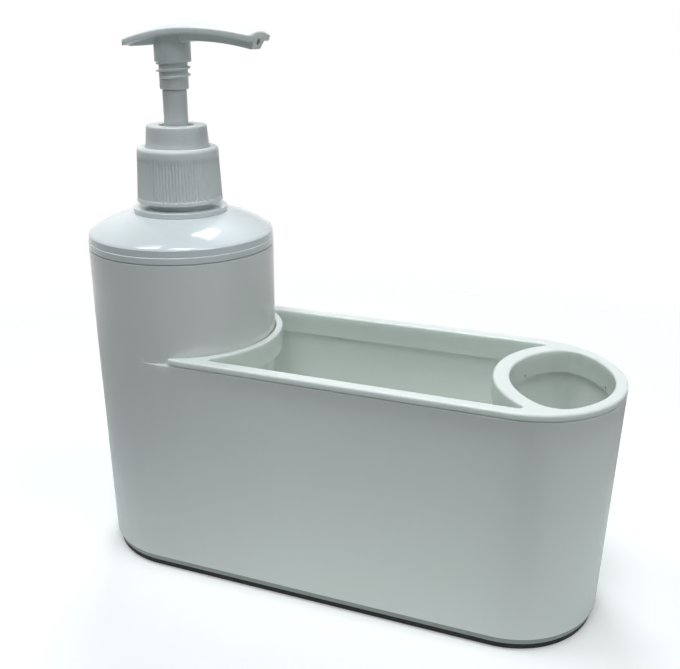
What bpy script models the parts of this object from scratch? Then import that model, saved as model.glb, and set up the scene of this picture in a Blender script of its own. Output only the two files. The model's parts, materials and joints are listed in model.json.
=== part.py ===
# Dish soap dispenser with a sponge caddy.
# A round soap reservoir and a flat-walled caddy are moulded in one body. A rim insert closes the
# caddy's mouth round a sponge opening and a brush opening, a domed lid closes the reservoir, and a
# lotion pump is screwed to the lid's neck.
# Metres, +Z up. The origin lies on the floor under the middle of the outline. Every object has its
# own origin on the pump's axis, which is also the axis of the reservoir, and its plan is drawn from
# that axis: +X runs towards the round end with the brush cup.

import bpy
import bmesh
from math import acos, atan2, ceil, cos, hypot, pi, radians, sin, sqrt, tan

# Fits shared by all pieces
GAP = 0.0003
OVERRUN = 0.0020
SPARE = 0.0005

# Body: the reservoir's tower and the caddy
CADDY_WIDTH = 0.0740
CENTRE_DISTANCE = 0.1413
TOWER_DRAFT = 0.00015
RIM_TOP = 0.0968
TOWER_RISE = 0.0363
WALL = 0.0022
FLOOR = 0.0026
CADDY_DRAFT = 0.00135
END_DRAFT = 0.0007
BODY_FOOT_EDGE = 0.0008
POCKET_FLOOR_EDGE = 0.0020
PLINTH_HEIGHT = 0.0024
PLINTH_INSET = 0.0010
PAD_THICKNESS = 0.0021
PAD_INSET = 0.0004
PAD_EDGE = 0.0005

# Partition between the sponge and the brush, an arc struck from beyond the round end's centre
PARTITION_SPREAD = 0.02694
PARTITION_INSET = 0.0022
PARTITION_WALL = 0.0018
SPONGE_POCKET_CORNER = 0.0022
BRUSH_POCKET_CORNER = 0.0060

# Rim insert
RIM_PLATE = 0.0025
RIM_SIDE_BAND = 0.00493
RIM_END_BAND = 0.0044
RIM_CROSS_BAND = 0.0060
RIM_TOWER_BAND = 0.0029
RIM_TOWER_SLIT = 0.0004
RIM_TIP_REACH = 0.0122
RIM_EDGE = 0.0008
SPONGE_CORNER = 0.0014
BRUSH_CORNER = 0.0100
SKIRT_WALL = 0.0015
SKIRT_DEPTH = 0.0070
NOTCH_WIDTH = 0.0012
NOTCH_HEIGHT = 0.0016
NOTCH_END_ANGLE = 27.0
NOTCH_PARTITION_ANGLE = 151.0

# Reservoir lid
LID_BAND = 0.0055
LID_LEDGE = 0.0027
LID_LEDGE_STEP = 0.0003
LID_WALL = 0.0020
DOME_RIM_RISE = 0.0006
DOME_RIM_INSET = 0.0005
DOME_START_INSET = 0.0006
DOME_TOP_SLOPE = 8.0
PLUG_DEPTH = 0.0080
PLUG_WALL = 0.0030
SEAL_THICKNESS = 0.0014
SEAL_DROP = 0.0040
SEAL_SIDES = 6
NECK_FLANGE_REACH = 0.0060
NECK_FLANGE = 0.0020
LID_RISE = 0.0154
NECK_FIT = 0.0014
NECK_WALL = 0.0017

# Screw thread between the neck and the closure
NECK_THREAD_DEPTH = 0.0009
NECK_THREAD_PITCH = 0.00423
NECK_THREAD_WIDTH = 0.0013
NECK_THREAD_TURNS = 1.4
NECK_THREAD_DROP = 0.0020
THREAD_FADE_SHARE = 0.15
THREAD_START_SHARE = 0.1
THREAD_CREST_SHARE = 0.25

# Closure, the ribbed collar
CLOSURE_STANDOFF = 0.0023
CLOSURE_HEIGHT = 0.0213
CLOSURE_WALL = 0.0029
CLOSURE_TAPER = 0.0011
CLOSURE_FIT = 0.00065
CLOSURE_ROOF = 0.0016
CLOSURE_RING = 0.0014
CLOSURE_SHOULDER = 0.0030
CLOSURE_EDGE = 0.0016
RIB_COUNT = 80
RIB_DEPTH = 0.00035
RIB_RECESS = 0.0001

# Lock collar, the fixed collar in the closure's roof that guides and locks the stem
COLLAR_RISE = 0.0083
COLLAR_BASE_RADIUS = 0.01245
COLLAR_TAPER = 0.00065
COLLAR_EDGE = 0.0006
COLLAR_FLANGE = 0.0012
COLLAR_FLANGE_REACH = 0.0010
COLLAR_PLUG = 0.0095
GUIDE_WALL = 0.0013
PLUG_TUBE_WALL = 0.0012
COLLAR_RECESS = 0.0065

# Lock thread on the head's post. It meets the collar just past the end of the stroke and screws
# down into it there, which is how the head is locked.
LOCK_PITCH = 0.0027
LOCK_TURNS = 2.3
LOCK_START_ANGLE = 223.0
LOCK_DEPTH = 0.0010
LOCK_WIDTH = 0.0011
LOCK_CLEARANCE = 0.0003
POST_RADIUS = 0.00555
STEM_SHOWN = 0.0135
LOCK_LEAD = 0.0006
POST_LENGTH = 0.0101
SKIRT_LENGTH = 0.0077
SKIRT_RADIUS = 0.0070
SKIRT_EDGE = 0.0004

# Stem, piston and plunger tip
STROKE = 0.0165
STEM_RADIUS = 0.0047
STEM_BORE = 0.0027
STEM_SPIGOT_RADIUS = 0.0038
STEM_SPIGOT = 0.0110
STEM_STOP_RADIUS = 0.0070
STEM_STOP = 0.0012
STEM_TAIL_RADIUS = 0.0042
STEM_PORT_RADIUS = 0.0008
PISTON_HEIGHT = 0.0046
PISTON_LIP = 0.0009
PISTON_WAIST = 0.0012
TIP_FLANGE = 0.0012
TIP_FLANGE_RADIUS = 0.0062
TIP_BOSS_RADIUS = 0.0044
TIP_BOSS = 0.0020
TIP_SPIGOT = 0.0070
TIP_WEB = 0.0020

# Pump housing, its valve and the dip tube
HOUSING_WALL = 0.0010
HOUSING_FLANGE = 0.0013
HOUSING_FLANGE_REACH = 0.0005
HOUSING_MOUTH_FIT = 0.0006
HOUSING_TAPER = 0.0018
CHAMBER_BORE = 0.0076
CHAMBER_DEPTH = 0.0460
BALL_RADIUS = 0.0026
BALL_LIFT = 0.0012
BALL_SEAT_BORE = 0.0020
BALL_POCKET_CLEARANCE = 0.0008
BALL_RINGS = 6
CAGE_THICKNESS = 0.0015
CAGE_RIM = 0.0014
CAGE_SLOT = 0.0016
SOCKET_DEPTH = 0.0085
SOCKET_WALL = 0.0010
GASKET_THICKNESS = 0.0012
DIP_TUBE_RADIUS = 0.00375
DIP_TUBE_WALL = 0.0009
DIP_TUBE_FOOT = 0.0030
DIP_TUBE_CUT = 0.0030

# Return spring
SPRING_WIRE = 0.0008
SPRING_RADIUS = 0.0054
SPRING_TURNS = 8

# Head: an arched saddle with a keel under it that holds the soap's channel
HEAD_REACH = 0.0374
HEAD_TAIL = 0.0166
HEAD_HALF_WIDTH = 0.0096
HEAD_CORNER = 0.0014
HEAD_CORNER_SHARES = (0.0, 0.13, 0.5)
HEAD_APEX = 0.0110
HEAD_NOSE_DROP = 0.0026
HEAD_TAIL_DROP = 0.0047
HEAD_CROWN = 0.0021
HEAD_CROWN_LOSS = 0.0006
HEAD_LIP = 0.0021
KEEL_DEPTH = 0.0048
KEEL_TAIL_DROP = 0.0022
KEEL_NOSE_DROP = 0.0028
KEEL_ROOT_HALF_WIDTH = 0.0048
KEEL_HALF_WIDTH = 0.0038
NOSE_UNDERCUT = 0.0021
CHANNEL_RADIUS = 0.0015
CHANNEL_HEIGHT = 0.0026

# Facets
TOWER_SEGMENTS = 48
PUMP_SEGMENTS = 24
INNER_SEGMENTS = 20
THREAD_POINTS = 16
SMOOTH_ANGLE = 35.0
ARC_STEPS = 3
FLOOR_STEPS = 2
DOME_STEPS = 4
CHANNEL_STEPS = 6
CHANNEL_SIDES = 8
PORT_SIDES = 8
SPRING_POINTS = 8
HEAD_STATIONS = 12
CROWN_STEPS = 8

# Places worked out from the sizes above
HALF_WIDTH = CADDY_WIDTH / 2
TOWER_RADIUS = HALF_WIDTH + TOWER_DRAFT
PARTITION_CENTRE = CENTRE_DISTANCE + PARTITION_SPREAD
PARTITION_RADIUS = HALF_WIDTH - PARTITION_INSET
AXIS_X = -(CENTRE_DISTANCE + HALF_WIDTH - TOWER_RADIUS) / 2
PLINTH_BASE = PAD_THICKNESS + GAP
BODY_BASE = PLINTH_BASE + PLINTH_HEIGHT
POCKET_FLOOR = PLINTH_BASE + FLOOR
RIM_SEAT = RIM_TOP - RIM_PLATE
WALL_TOP = RIM_SEAT - GAP
TANK_BORE = TOWER_RADIUS - WALL
LID_SEAM = RIM_TOP + TOWER_RISE
LID_BASE = LID_SEAM + GAP
SHOULDER = LID_SEAM + LID_BAND
NECK_FLANGE_TOP = LID_SEAM + LID_RISE
FLANGE_BASE = NECK_FLANGE_TOP - NECK_FLANGE
CLOSURE_BASE = NECK_FLANGE_TOP + CLOSURE_STANDOFF
CLOSURE_TOP = CLOSURE_BASE + CLOSURE_HEIGHT
COLLAR_TOP = CLOSURE_TOP + COLLAR_RISE
POST_END = COLLAR_TOP + STEM_SHOWN
SKIRT_BASE = POST_END + POST_LENGTH
KEEL_TOP = SKIRT_BASE + SKIRT_LENGTH
HEAD_EDGE_TOP = KEEL_TOP + KEEL_DEPTH
ROOF_BASE = CLOSURE_TOP - CLOSURE_ROOF
COLLAR_FLANGE_TOP = ROOF_BASE - GAP
COLLAR_FLANGE_BASE = COLLAR_FLANGE_TOP - COLLAR_FLANGE
HOUSING_TOP = COLLAR_FLANGE_BASE - GAP
HOUSING_FLANGE_BASE = HOUSING_TOP - HOUSING_FLANGE
GASKET_TOP = HOUSING_FLANGE_BASE - GAP
NECK_TOP = GASKET_TOP - GASKET_THICKNESS - GAP
COLLAR_BASE = COLLAR_FLANGE_BASE - COLLAR_PLUG
COLLAR_TOP_RADIUS = COLLAR_BASE_RADIUS - COLLAR_TAPER
COLLAR_FLANGE_RADIUS = COLLAR_BASE_RADIUS + COLLAR_FLANGE_REACH
CLOSURE_HOLE = COLLAR_BASE_RADIUS + GAP
CLOSURE_BORE = COLLAR_FLANGE_RADIUS + CLOSURE_FIT
CLOSURE_BASE_RADIUS = CLOSURE_BORE + CLOSURE_WALL
CLOSURE_TOP_RADIUS = CLOSURE_BASE_RADIUS - CLOSURE_TAPER
NECK_RADIUS = CLOSURE_BORE - NECK_FIT
NECK_BORE = NECK_RADIUS - NECK_WALL
NECK_FLANGE_RADIUS = NECK_RADIUS + NECK_FLANGE_REACH
HOUSING_FLANGE_RADIUS = NECK_RADIUS + HOUSING_FLANGE_REACH
HOUSING_MOUTH_RADIUS = NECK_BORE - HOUSING_MOUTH_FIT
GUIDE_BORE = STEM_RADIUS + GAP
LOCK_CREST = POST_RADIUS + LOCK_DEPTH
LOCK_BORE = LOCK_CREST + LOCK_CLEARANCE
LOCK_LENGTH = (LOCK_TURNS + 1) * LOCK_PITCH
LOCK_START = COLLAR_TOP + STROKE + LOCK_LEAD
STEM_TOP = POST_END - GAP
STOP_TOP = COLLAR_BASE - GAP
STOP_BASE = STOP_TOP - STEM_STOP
STEM_SHOULDER = STOP_BASE - HOUSING_TAPER
PISTON_TOP = STEM_SHOULDER - GAP
PISTON_BASE = PISTON_TOP - PISTON_HEIGHT
TIP_FLANGE_TOP = PISTON_BASE - GAP
TIP_FLANGE_BASE = TIP_FLANGE_TOP - TIP_FLANGE
MOUTH_BASE = COLLAR_BASE - GAP
CHAMBER_BASE = HOUSING_TOP - CHAMBER_DEPTH
CAGE_BASE = CHAMBER_BASE + GAP
CAGE_TOP = CAGE_BASE + CAGE_THICKNESS
BALL_CENTRE = CAGE_BASE - BALL_LIFT - GAP - BALL_RADIUS
BALL_SEAT = BALL_CENTRE - sqrt((BALL_RADIUS + GAP) ** 2 - BALL_SEAT_BORE ** 2)
BALL_POCKET = BALL_RADIUS + BALL_POCKET_CLEARANCE
SOCKET_BORE = DIP_TUBE_RADIUS + GAP
SOCKET_TOP = BALL_SEAT - BALL_RADIUS
SOCKET_BASE = SOCKET_TOP - SOCKET_DEPTH


def caddy_share(height):
    """How far down the caddy's draft a height is: 0 at the rim, 1 at the base."""
    return min(max((RIM_TOP - height) / (RIM_TOP - BODY_BASE), 0.0), 1.0)


def caddy_radius(height):
    return HALF_WIDTH - CADDY_DRAFT * caddy_share(height)


def caddy_end(height):
    return CENTRE_DISTANCE - END_DRAFT * caddy_share(height)


def tower_radius(height):
    if height <= RIM_TOP:
        return caddy_radius(height)
    rise = min((height - RIM_TOP) / (LID_SEAM - RIM_TOP), 1.0)
    return HALF_WIDTH + (TOWER_RADIUS - HALF_WIDTH) * rise


def arc(centre, radius, start, end, steps):
    """Points of an arc in the plane, both ends included; the angles are radians."""
    turns = [start + (end - start) * i / steps for i in range(steps + 1)]
    return [(centre[0] + radius * cos(a), centre[1] + radius * sin(a)) for a in turns]


def circle(radius, count, height):
    turns = [2 * pi * i / count for i in range(count)]
    return [(radius * cos(a), radius * sin(a), height) for a in turns]


def rounded(corners, steps=ARC_STEPS, closed=True):
    """A path through corners given as (x, y) or (x, y, radius), each radius turned into an arc."""
    points = []
    last = len(corners) - 1
    for i, corner in enumerate(corners):
        here = corner[:2]
        if len(corner) < 3 or (not closed and i in (0, last)):
            points.append(here)
            continue
        before, after = corners[i - 1], corners[(i + 1) % len(corners)]
        back = (before[0] - here[0], before[1] - here[1])
        ahead = (after[0] - here[0], after[1] - here[1])
        back_length, ahead_length = hypot(*back), hypot(*ahead)
        cosine = (back[0] * ahead[0] + back[1] * ahead[1]) / (back_length * ahead_length)
        half = acos(min(max(cosine, -1.0), 1.0)) / 2
        reach = min(corner[2] / tan(half), back_length / 2, ahead_length / 2)
        start = (here[0] + back[0] * reach / back_length, here[1] + back[1] * reach / back_length)
        end = (here[0] + ahead[0] * reach / ahead_length, here[1] + ahead[1] * reach / ahead_length)
        bisector = (back[0] / back_length + ahead[0] / ahead_length,
                    back[1] / back_length + ahead[1] / ahead_length)
        away = reach / cos(half) / hypot(*bisector)
        centre = (here[0] + bisector[0] * away, here[1] + bisector[1] * away)
        first = atan2(start[1] - centre[1], start[0] - centre[0])
        sweep = atan2(end[1] - centre[1], end[0] - centre[0]) - first
        sweep = (sweep + pi) % (2 * pi) - pi
        points += arc(centre, hypot(start[0] - centre[0], start[1] - centre[1]),
                      first, first + sweep, steps)
    return points


def join_rings(bm, low, high):
    """Faces between two rings; a ring may have a whole multiple of the other's points, or one."""
    count = min(len(low), len(high))
    if count == 1:
        tip, ring = (low[0], high) if len(low) == 1 else (high[0], low)
        for i, vert in enumerate(ring):
            bm.faces.new((tip, vert, ring[(i + 1) % len(ring)]))
        return
    for i in range(count):
        low_step, high_step = len(low) // count, len(high) // count
        lower = [low[(i * low_step + j) % len(low)] for j in range(low_step + 1)]
        upper = [high[(i * high_step + j) % len(high)] for j in range(high_step + 1)]
        bm.faces.new(lower + upper[::-1])


def skin(rings, closed=False):
    """A solid skinned over rings of points: capped at its two ends, or closed on itself."""
    bm = bmesh.new()
    loops = [[bm.verts.new(point) for point in ring] for ring in rings]
    for low, high in zip(loops, loops[1:]):
        join_rings(bm, low, high)
    if closed:
        join_rings(bm, loops[-1], loops[0])
    else:
        for loop in (loops[0], loops[-1]):
            if len(loop) > 2:
                bm.faces.new(loop)
    bmesh.ops.recalc_face_normals(bm, faces=bm.faces)
    return bm


def turned(section, count):
    """Rings of a section of (radius, height) points turned round the axis."""
    return [[(0, 0, z)] if r == 0 else circle(r, count, z) for r, z in section]


def lathe(section, count):
    """A solid turned round the axis from a section that closes on itself, or that starts and ends
    on the axis."""
    return skin(turned(section, count), closed=section[0][0] != 0)


def prism_levels(outline, levels):
    """Rings for an outline function at levels of (height, inset)."""
    return [[(x, y, height) for x, y in outline(height, inset)] for height, inset in levels]


def top_edge_levels(top, radius):
    """Levels of a rounded top edge, from its start to the top face."""
    turns = [pi / 2 * i / ARC_STEPS for i in range(ARC_STEPS + 1)]
    return [(top - radius + radius * sin(a), radius * (1 - cos(a))) for a in turns]


def base_edge_levels(base, radius):
    """Levels of a rounded bottom edge, from the bottom face up."""
    turns = [pi / 2 * i / FLOOR_STEPS for i in range(FLOOR_STEPS + 1)]
    return [(base + radius * (1 - cos(a)), radius * (1 - sin(a))) for a in turns]


def box(size, centre, turn=0.0):
    """A box turned about the upright axis and then moved to its centre."""
    bm = bmesh.new()
    bmesh.ops.create_cube(bm, size=1)
    for vert in bm.verts:
        x, y, z = vert.co.x * size[0], vert.co.y * size[1], vert.co.z * size[2]
        vert.co = (centre[0] + x * cos(turn) - y * sin(turn),
                   centre[1] + x * sin(turn) + y * cos(turn), centre[2] + z)
    return bm


def material(name, colour, roughness, metallic=0.0):
    made = bpy.data.materials.new(name)
    made.use_nodes = True
    shader = made.node_tree.nodes["Principled BSDF"]
    shader.inputs["Base Color"].default_value = (*colour, 1.0)
    shader.inputs["Roughness"].default_value = roughness
    shader.inputs["Metallic"].default_value = metallic
    return made


def make(name, bm, colour=(1.0, 1.0, 1.0), roughness=0.4, metallic=0.0, smooth=True):
    """An object on the pump's axis, with its own material."""
    mesh = bpy.data.meshes.new(name)
    bm.to_mesh(mesh)
    bm.free()
    if smooth:
        mesh.shade_smooth()
        mesh.set_sharp_from_angle(angle=radians(SMOOTH_ANGLE))
    thing = bpy.data.objects.new(name, mesh)
    thing.location = (AXIS_X, 0, 0)
    mesh.materials.append(material(name, colour, roughness, metallic))
    bpy.context.scene.collection.objects.link(thing)
    return thing


def combine(thing, name, bm, operation):
    """Join a shape to an object, or cut it away, with a Boolean; the shape stays as a hidden guide."""
    guide = make(name, bm)
    guide.hide_render = True
    guide.display_type = "WIRE"
    boolean = thing.modifiers.new(name, "BOOLEAN")
    boolean.operation = operation
    boolean.object = guide
    boolean.solver = "EXACT"


def thread_ridge(root, crest, width, pitch, turns, start, lead=0.0):
    """One screw ridge, sunk a little into the wall that carries it; its ends fade into that wall."""
    sections = []
    count = ceil(turns * THREAD_POINTS)
    inward = 1 if crest > root else -1
    for i in range(count + 1):
        turn = turns * i / count
        fade = min(turn, turns - turn, THREAD_FADE_SHARE) / THREAD_FADE_SHARE
        tip = root + (crest - root) * max(fade, THREAD_START_SHARE)
        deep = root - inward * SPARE
        angle, height = lead + 2 * pi * turn, start + pitch * turn
        flank, flat = width / 2, width * THREAD_CREST_SHARE
        section = ((deep, -flank), (tip, -flat), (tip, flat), (deep, flank))
        sections.append([(r * cos(angle), r * sin(angle), height + z) for r, z in section])
    return skin(sections)


# Plan outlines, from the pump's axis

def stadium(height, inset):
    """The caddy's outline: two half circles and the flat walls between them."""
    radius, end = caddy_radius(height) - inset, caddy_end(height)
    steps = TOWER_SEGMENTS // 2
    return (arc((end, 0), radius, -pi / 2, pi / 2, steps)
            + arc((0, 0), radius, pi / 2, 3 * pi / 2, steps))


def pocket(half_width, tower, partition, corner, steps=ARC_STEPS):
    """A sponge opening: flat sides, an arc round the tower and an arc of the partition."""
    side = half_width - corner
    near = (sqrt((tower + corner) ** 2 - side ** 2), side)
    far = (PARTITION_CENTRE - sqrt((partition + corner) ** 2 - side ** 2), side)
    lean_near = atan2(near[1], near[0])
    lean_far = atan2(far[1], PARTITION_CENTRE - far[0])
    points = arc((0, 0), tower, lean_near, -lean_near, TOWER_SEGMENTS // 4)[1:-1]
    points += arc((near[0], -near[1]), corner, pi - lean_near, 3 * pi / 2, steps)
    points += arc((far[0], -far[1]), corner, -pi / 2, lean_far, steps)
    points += arc((PARTITION_CENTRE, 0), partition, pi + lean_far, pi - lean_far,
                  TOWER_SEGMENTS // 4)[1:-1]
    points += arc(far, corner, -lean_far, pi / 2, steps)
    points += arc(near, corner, pi / 2, pi + lean_near, steps)
    return points


def lens(end, end_radius, partition, corner, steps=ARC_STEPS):
    """A brush opening: an arc of the round end, an arc of the partition and rounded corners."""
    spread = PARTITION_CENTRE - end
    outer, inner = end_radius - corner, partition - corner
    along = (outer ** 2 - inner ** 2 + spread ** 2) / (2 * spread)
    side = sqrt(outer ** 2 - along ** 2)
    lean_end = atan2(side, along)
    lean_partition = atan2(side, along - spread)
    middle = end + along
    points = arc((end, 0), end_radius, -lean_end, lean_end, TOWER_SEGMENTS // 4)
    points += arc((middle, side), corner, lean_end, lean_partition, 2 * steps)[1:]
    points += arc((PARTITION_CENTRE, 0), partition, lean_partition, 2 * pi - lean_partition,
                  TOWER_SEGMENTS // 4)[1:]
    points += arc((middle, -side), corner, 2 * pi - lean_partition, 2 * pi - lean_end, 2 * steps)[1:-1]
    return points


def sponge_pocket(height, inset):
    """Inside of the caddy round the sponge."""
    return pocket(caddy_radius(height) - WALL - inset, tower_radius(height) + inset,
                  PARTITION_RADIUS + PARTITION_WALL / 2 + inset, SPONGE_POCKET_CORNER)


def brush_pocket(height, inset):
    """Inside of the caddy's round end."""
    return lens(caddy_end(height), caddy_radius(height) - WALL - inset,
                PARTITION_RADIUS - PARTITION_WALL / 2 - inset, BRUSH_POCKET_CORNER)


def sponge_opening(height, inset):
    """The rim's sponge opening; a negative inset makes it larger."""
    return pocket(HALF_WIDTH - RIM_SIDE_BAND - inset, tower_clearance() + RIM_TOWER_BAND + inset,
                  PARTITION_RADIUS + RIM_CROSS_BAND / 2 + inset, SPONGE_CORNER - inset)


def brush_opening(height, inset):
    """The rim's brush opening."""
    return lens(CENTRE_DISTANCE, HALF_WIDTH - RIM_END_BAND - inset,
                PARTITION_RADIUS - RIM_CROSS_BAND / 2 - inset, BRUSH_CORNER - inset)


def tower_clearance():
    """Radius of the rim's inner edge round the tower."""
    return HALF_WIDTH + RIM_TOWER_SLIT


def rim_outline(height, inset):
    """The rim insert's outline: the round end, the flat sides, blunt tips and the tower's arc."""
    radius, tower, tip = HALF_WIDTH - inset, tower_clearance() + inset, RIM_TIP_REACH + inset
    lean = acos(tip / tower)
    points = arc((CENTRE_DISTANCE, 0), radius, -pi / 2, pi / 2, TOWER_SEGMENTS // 2)
    points.append((tip, radius))
    points += arc((0, 0), tower, lean, -lean, TOWER_SEGMENTS // 2)
    points.append((tip, -radius))
    return points


# Body pieces

def build_outer_body():
    """The one moulding that holds the reservoir's tower, the caddy, the partition and the plinth."""
    levels = [(PLINTH_BASE, PLINTH_INSET), (BODY_BASE, PLINTH_INSET)]
    levels += base_edge_levels(BODY_BASE, BODY_FOOT_EDGE) + [(WALL_TOP, 0)]
    body = make("outer_body", skin(prism_levels(stadium, levels)), (0.80, 0.82, 0.82), 0.30)
    tower = [(tower_radius(WALL_TOP) - SPARE, WALL_TOP - OVERRUN)]
    tower += [(tower_radius(z), z) for z in (WALL_TOP, RIM_TOP, LID_SEAM)]
    combine(body, "tower_form", skin(turned(tower, TOWER_SEGMENTS)), "UNION")
    top = LID_SEAM + OVERRUN
    floor_edge = [(tower_radius(z) - WALL - inset, z)
                  for z, inset in base_edge_levels(POCKET_FLOOR, POCKET_FLOOR_EDGE)]
    tank = [(0, POCKET_FLOOR)] + floor_edge
    tank += [(HALF_WIDTH - WALL, RIM_TOP), (TANK_BORE, LID_SEAM), (TANK_BORE, top), (0, top)]
    combine(body, "tank_bore", lathe(tank, TOWER_SEGMENTS), "DIFFERENCE")
    levels = base_edge_levels(POCKET_FLOOR, POCKET_FLOOR_EDGE) + [(WALL_TOP + OVERRUN, 0)]
    combine(body, "sponge_pocket", skin(prism_levels(sponge_pocket, levels)), "DIFFERENCE")
    combine(body, "brush_pocket", skin(prism_levels(brush_pocket, levels)), "DIFFERENCE")
    return body


def build_base_pad():
    """Non-slip sheet under the plinth."""
    inset = PLINTH_INSET + PAD_INSET
    levels = [(0, inset + PAD_EDGE), (PAD_EDGE, inset), (PAD_THICKNESS, inset)]
    return make("base_pad", skin(prism_levels(stadium, levels)), (0.02, 0.02, 0.02), 0.8)


def opening_levels():
    """Levels of a cutter for a rim opening, whose top edge flares out in a round."""
    flare = [(z, -inset) for z, inset in top_edge_levels(RIM_TOP, RIM_EDGE)]
    return [(RIM_SEAT - SKIRT_DEPTH - OVERRUN, 0)] + flare + [(RIM_TOP + OVERRUN, -RIM_EDGE)]


def build_rim_insert():
    """Frame over the caddy's mouth, with a skirt round each opening."""
    levels = [(RIM_SEAT, 0)] + top_edge_levels(RIM_TOP, RIM_EDGE)
    rim = make("rim_insert", skin(prism_levels(rim_outline, levels)), (0.88, 0.90, 0.92), 0.28)
    skirt = [(RIM_SEAT - SKIRT_DEPTH, -SKIRT_WALL), (RIM_SEAT + RIM_PLATE / 2, -SKIRT_WALL)]
    combine(rim, "sponge_skirt", skin(prism_levels(sponge_opening, skirt)), "UNION")
    combine(rim, "brush_skirt", skin(prism_levels(brush_opening, skirt)), "UNION")
    combine(rim, "sponge_hole", skin(prism_levels(sponge_opening, opening_levels())), "DIFFERENCE")
    combine(rim, "brush_hole", skin(prism_levels(brush_opening, opening_levels())), "DIFFERENCE")
    for i, notch in enumerate(skirt_notches()):
        combine(rim, f"skirt_notch_{i}", notch, "DIFFERENCE")
    return rim


def skirt_notches():
    """Notches in the lower edge of the brush opening's skirt, two on each side."""
    size = (SKIRT_WALL + OVERRUN, NOTCH_WIDTH, NOTCH_HEIGHT + OVERRUN)
    height = RIM_SEAT - SKIRT_DEPTH + (NOTCH_HEIGHT - OVERRUN) / 2
    arcs = ((CENTRE_DISTANCE, HALF_WIDTH - RIM_END_BAND, NOTCH_END_ANGLE),
            (PARTITION_CENTRE, PARTITION_RADIUS - RIM_CROSS_BAND / 2, NOTCH_PARTITION_ANGLE))
    notches = []
    for centre, radius, angle in arcs:
        for side in (-1, 1):
            turn = side * radians(angle)
            middle = radius + SKIRT_WALL / 2
            notches.append(box(size, (centre + middle * cos(turn), middle * sin(turn), height), turn))
    return notches


def dome(start, rim):
    """Arc of the lid's dome from its start at the neck's flange out to the rim. An arc's chord
    slopes midway between its ends, which gives the slope at the rim."""
    top = radians(DOME_TOP_SLOPE)
    low = 2 * atan2(start[1] - rim[1], rim[0] - start[0]) - top
    radius = (rim[0] - start[0]) / (sin(low) - sin(top))
    centre = (rim[0] - radius * sin(low), rim[1] - radius * cos(low))
    return arc(centre, radius, pi / 2 - top, pi / 2 - low, DOME_STEPS)


def build_reservoir_lid():
    """Shoulder of the reservoir with the neck, and a plug with a groove for the seal."""
    plug = TANK_BORE - GAP
    groove = plug - SEAL_THICKNESS - GAP
    seal_top = LID_BASE - SEAL_DROP + SEAL_THICKNESS / 2 + GAP
    seal_base = LID_BASE - SEAL_DROP - SEAL_THICKNESS / 2 - GAP
    plug_base = LID_BASE - PLUG_DEPTH
    ledge = SHOULDER - LID_LEDGE
    band = TOWER_RADIUS - LID_LEDGE_STEP
    inside = plug - PLUG_WALL
    outer = dome((NECK_FLANGE_RADIUS - DOME_START_INSET, FLANGE_BASE),
                 (band - DOME_RIM_INSET, SHOULDER + DOME_RIM_RISE))
    crown = (NECK_FLANGE_RADIUS, outer[0][1] - LID_WALL)
    neck = [(NECK_BORE, crown[1]), (NECK_BORE, NECK_TOP), (NECK_RADIUS, NECK_TOP),
            (NECK_RADIUS, NECK_FLANGE_TOP)]
    shell = [(NECK_FLANGE_RADIUS, NECK_FLANGE_TOP), (NECK_FLANGE_RADIUS, FLANGE_BASE)] + outer
    shell += [(band, SHOULDER), (band, ledge), (TOWER_RADIUS, ledge), (TOWER_RADIUS, LID_BASE)]
    under = [(plug, LID_BASE), (plug, seal_top), (groove, seal_top), (groove, seal_base),
             (plug, seal_base), (plug, plug_base), (inside, plug_base), (inside, SHOULDER - LID_WALL),
             crown]
    inner_count = TOWER_SEGMENTS // 2
    rings = turned(neck, inner_count) + turned(shell, TOWER_SEGMENTS) + turned(under, inner_count)
    lid = make("reservoir_lid", skin(rings, closed=True), (0.84, 0.88, 0.92), 0.15)
    start = NECK_TOP - NECK_THREAD_DROP - NECK_THREAD_TURNS * NECK_THREAD_PITCH
    ridge = thread_ridge(NECK_RADIUS, NECK_RADIUS + NECK_THREAD_DEPTH, NECK_THREAD_WIDTH,
                         NECK_THREAD_PITCH, NECK_THREAD_TURNS, start)
    combine(lid, "neck_thread", ridge, "UNION")
    return lid


def build_lid_seal():
    """Seal ring in the groove of the lid's plug."""
    radius = SEAL_THICKNESS / 2
    centre = (TANK_BORE - GAP - radius, LID_BASE - SEAL_DROP)
    section = arc(centre, radius, 0, 2 * pi, SEAL_SIDES)[:-1]
    return make("lid_seal", lathe(section, TOWER_SEGMENTS // 2), (0.08, 0.08, 0.09), 0.7)


# Pump pieces that stay put

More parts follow.
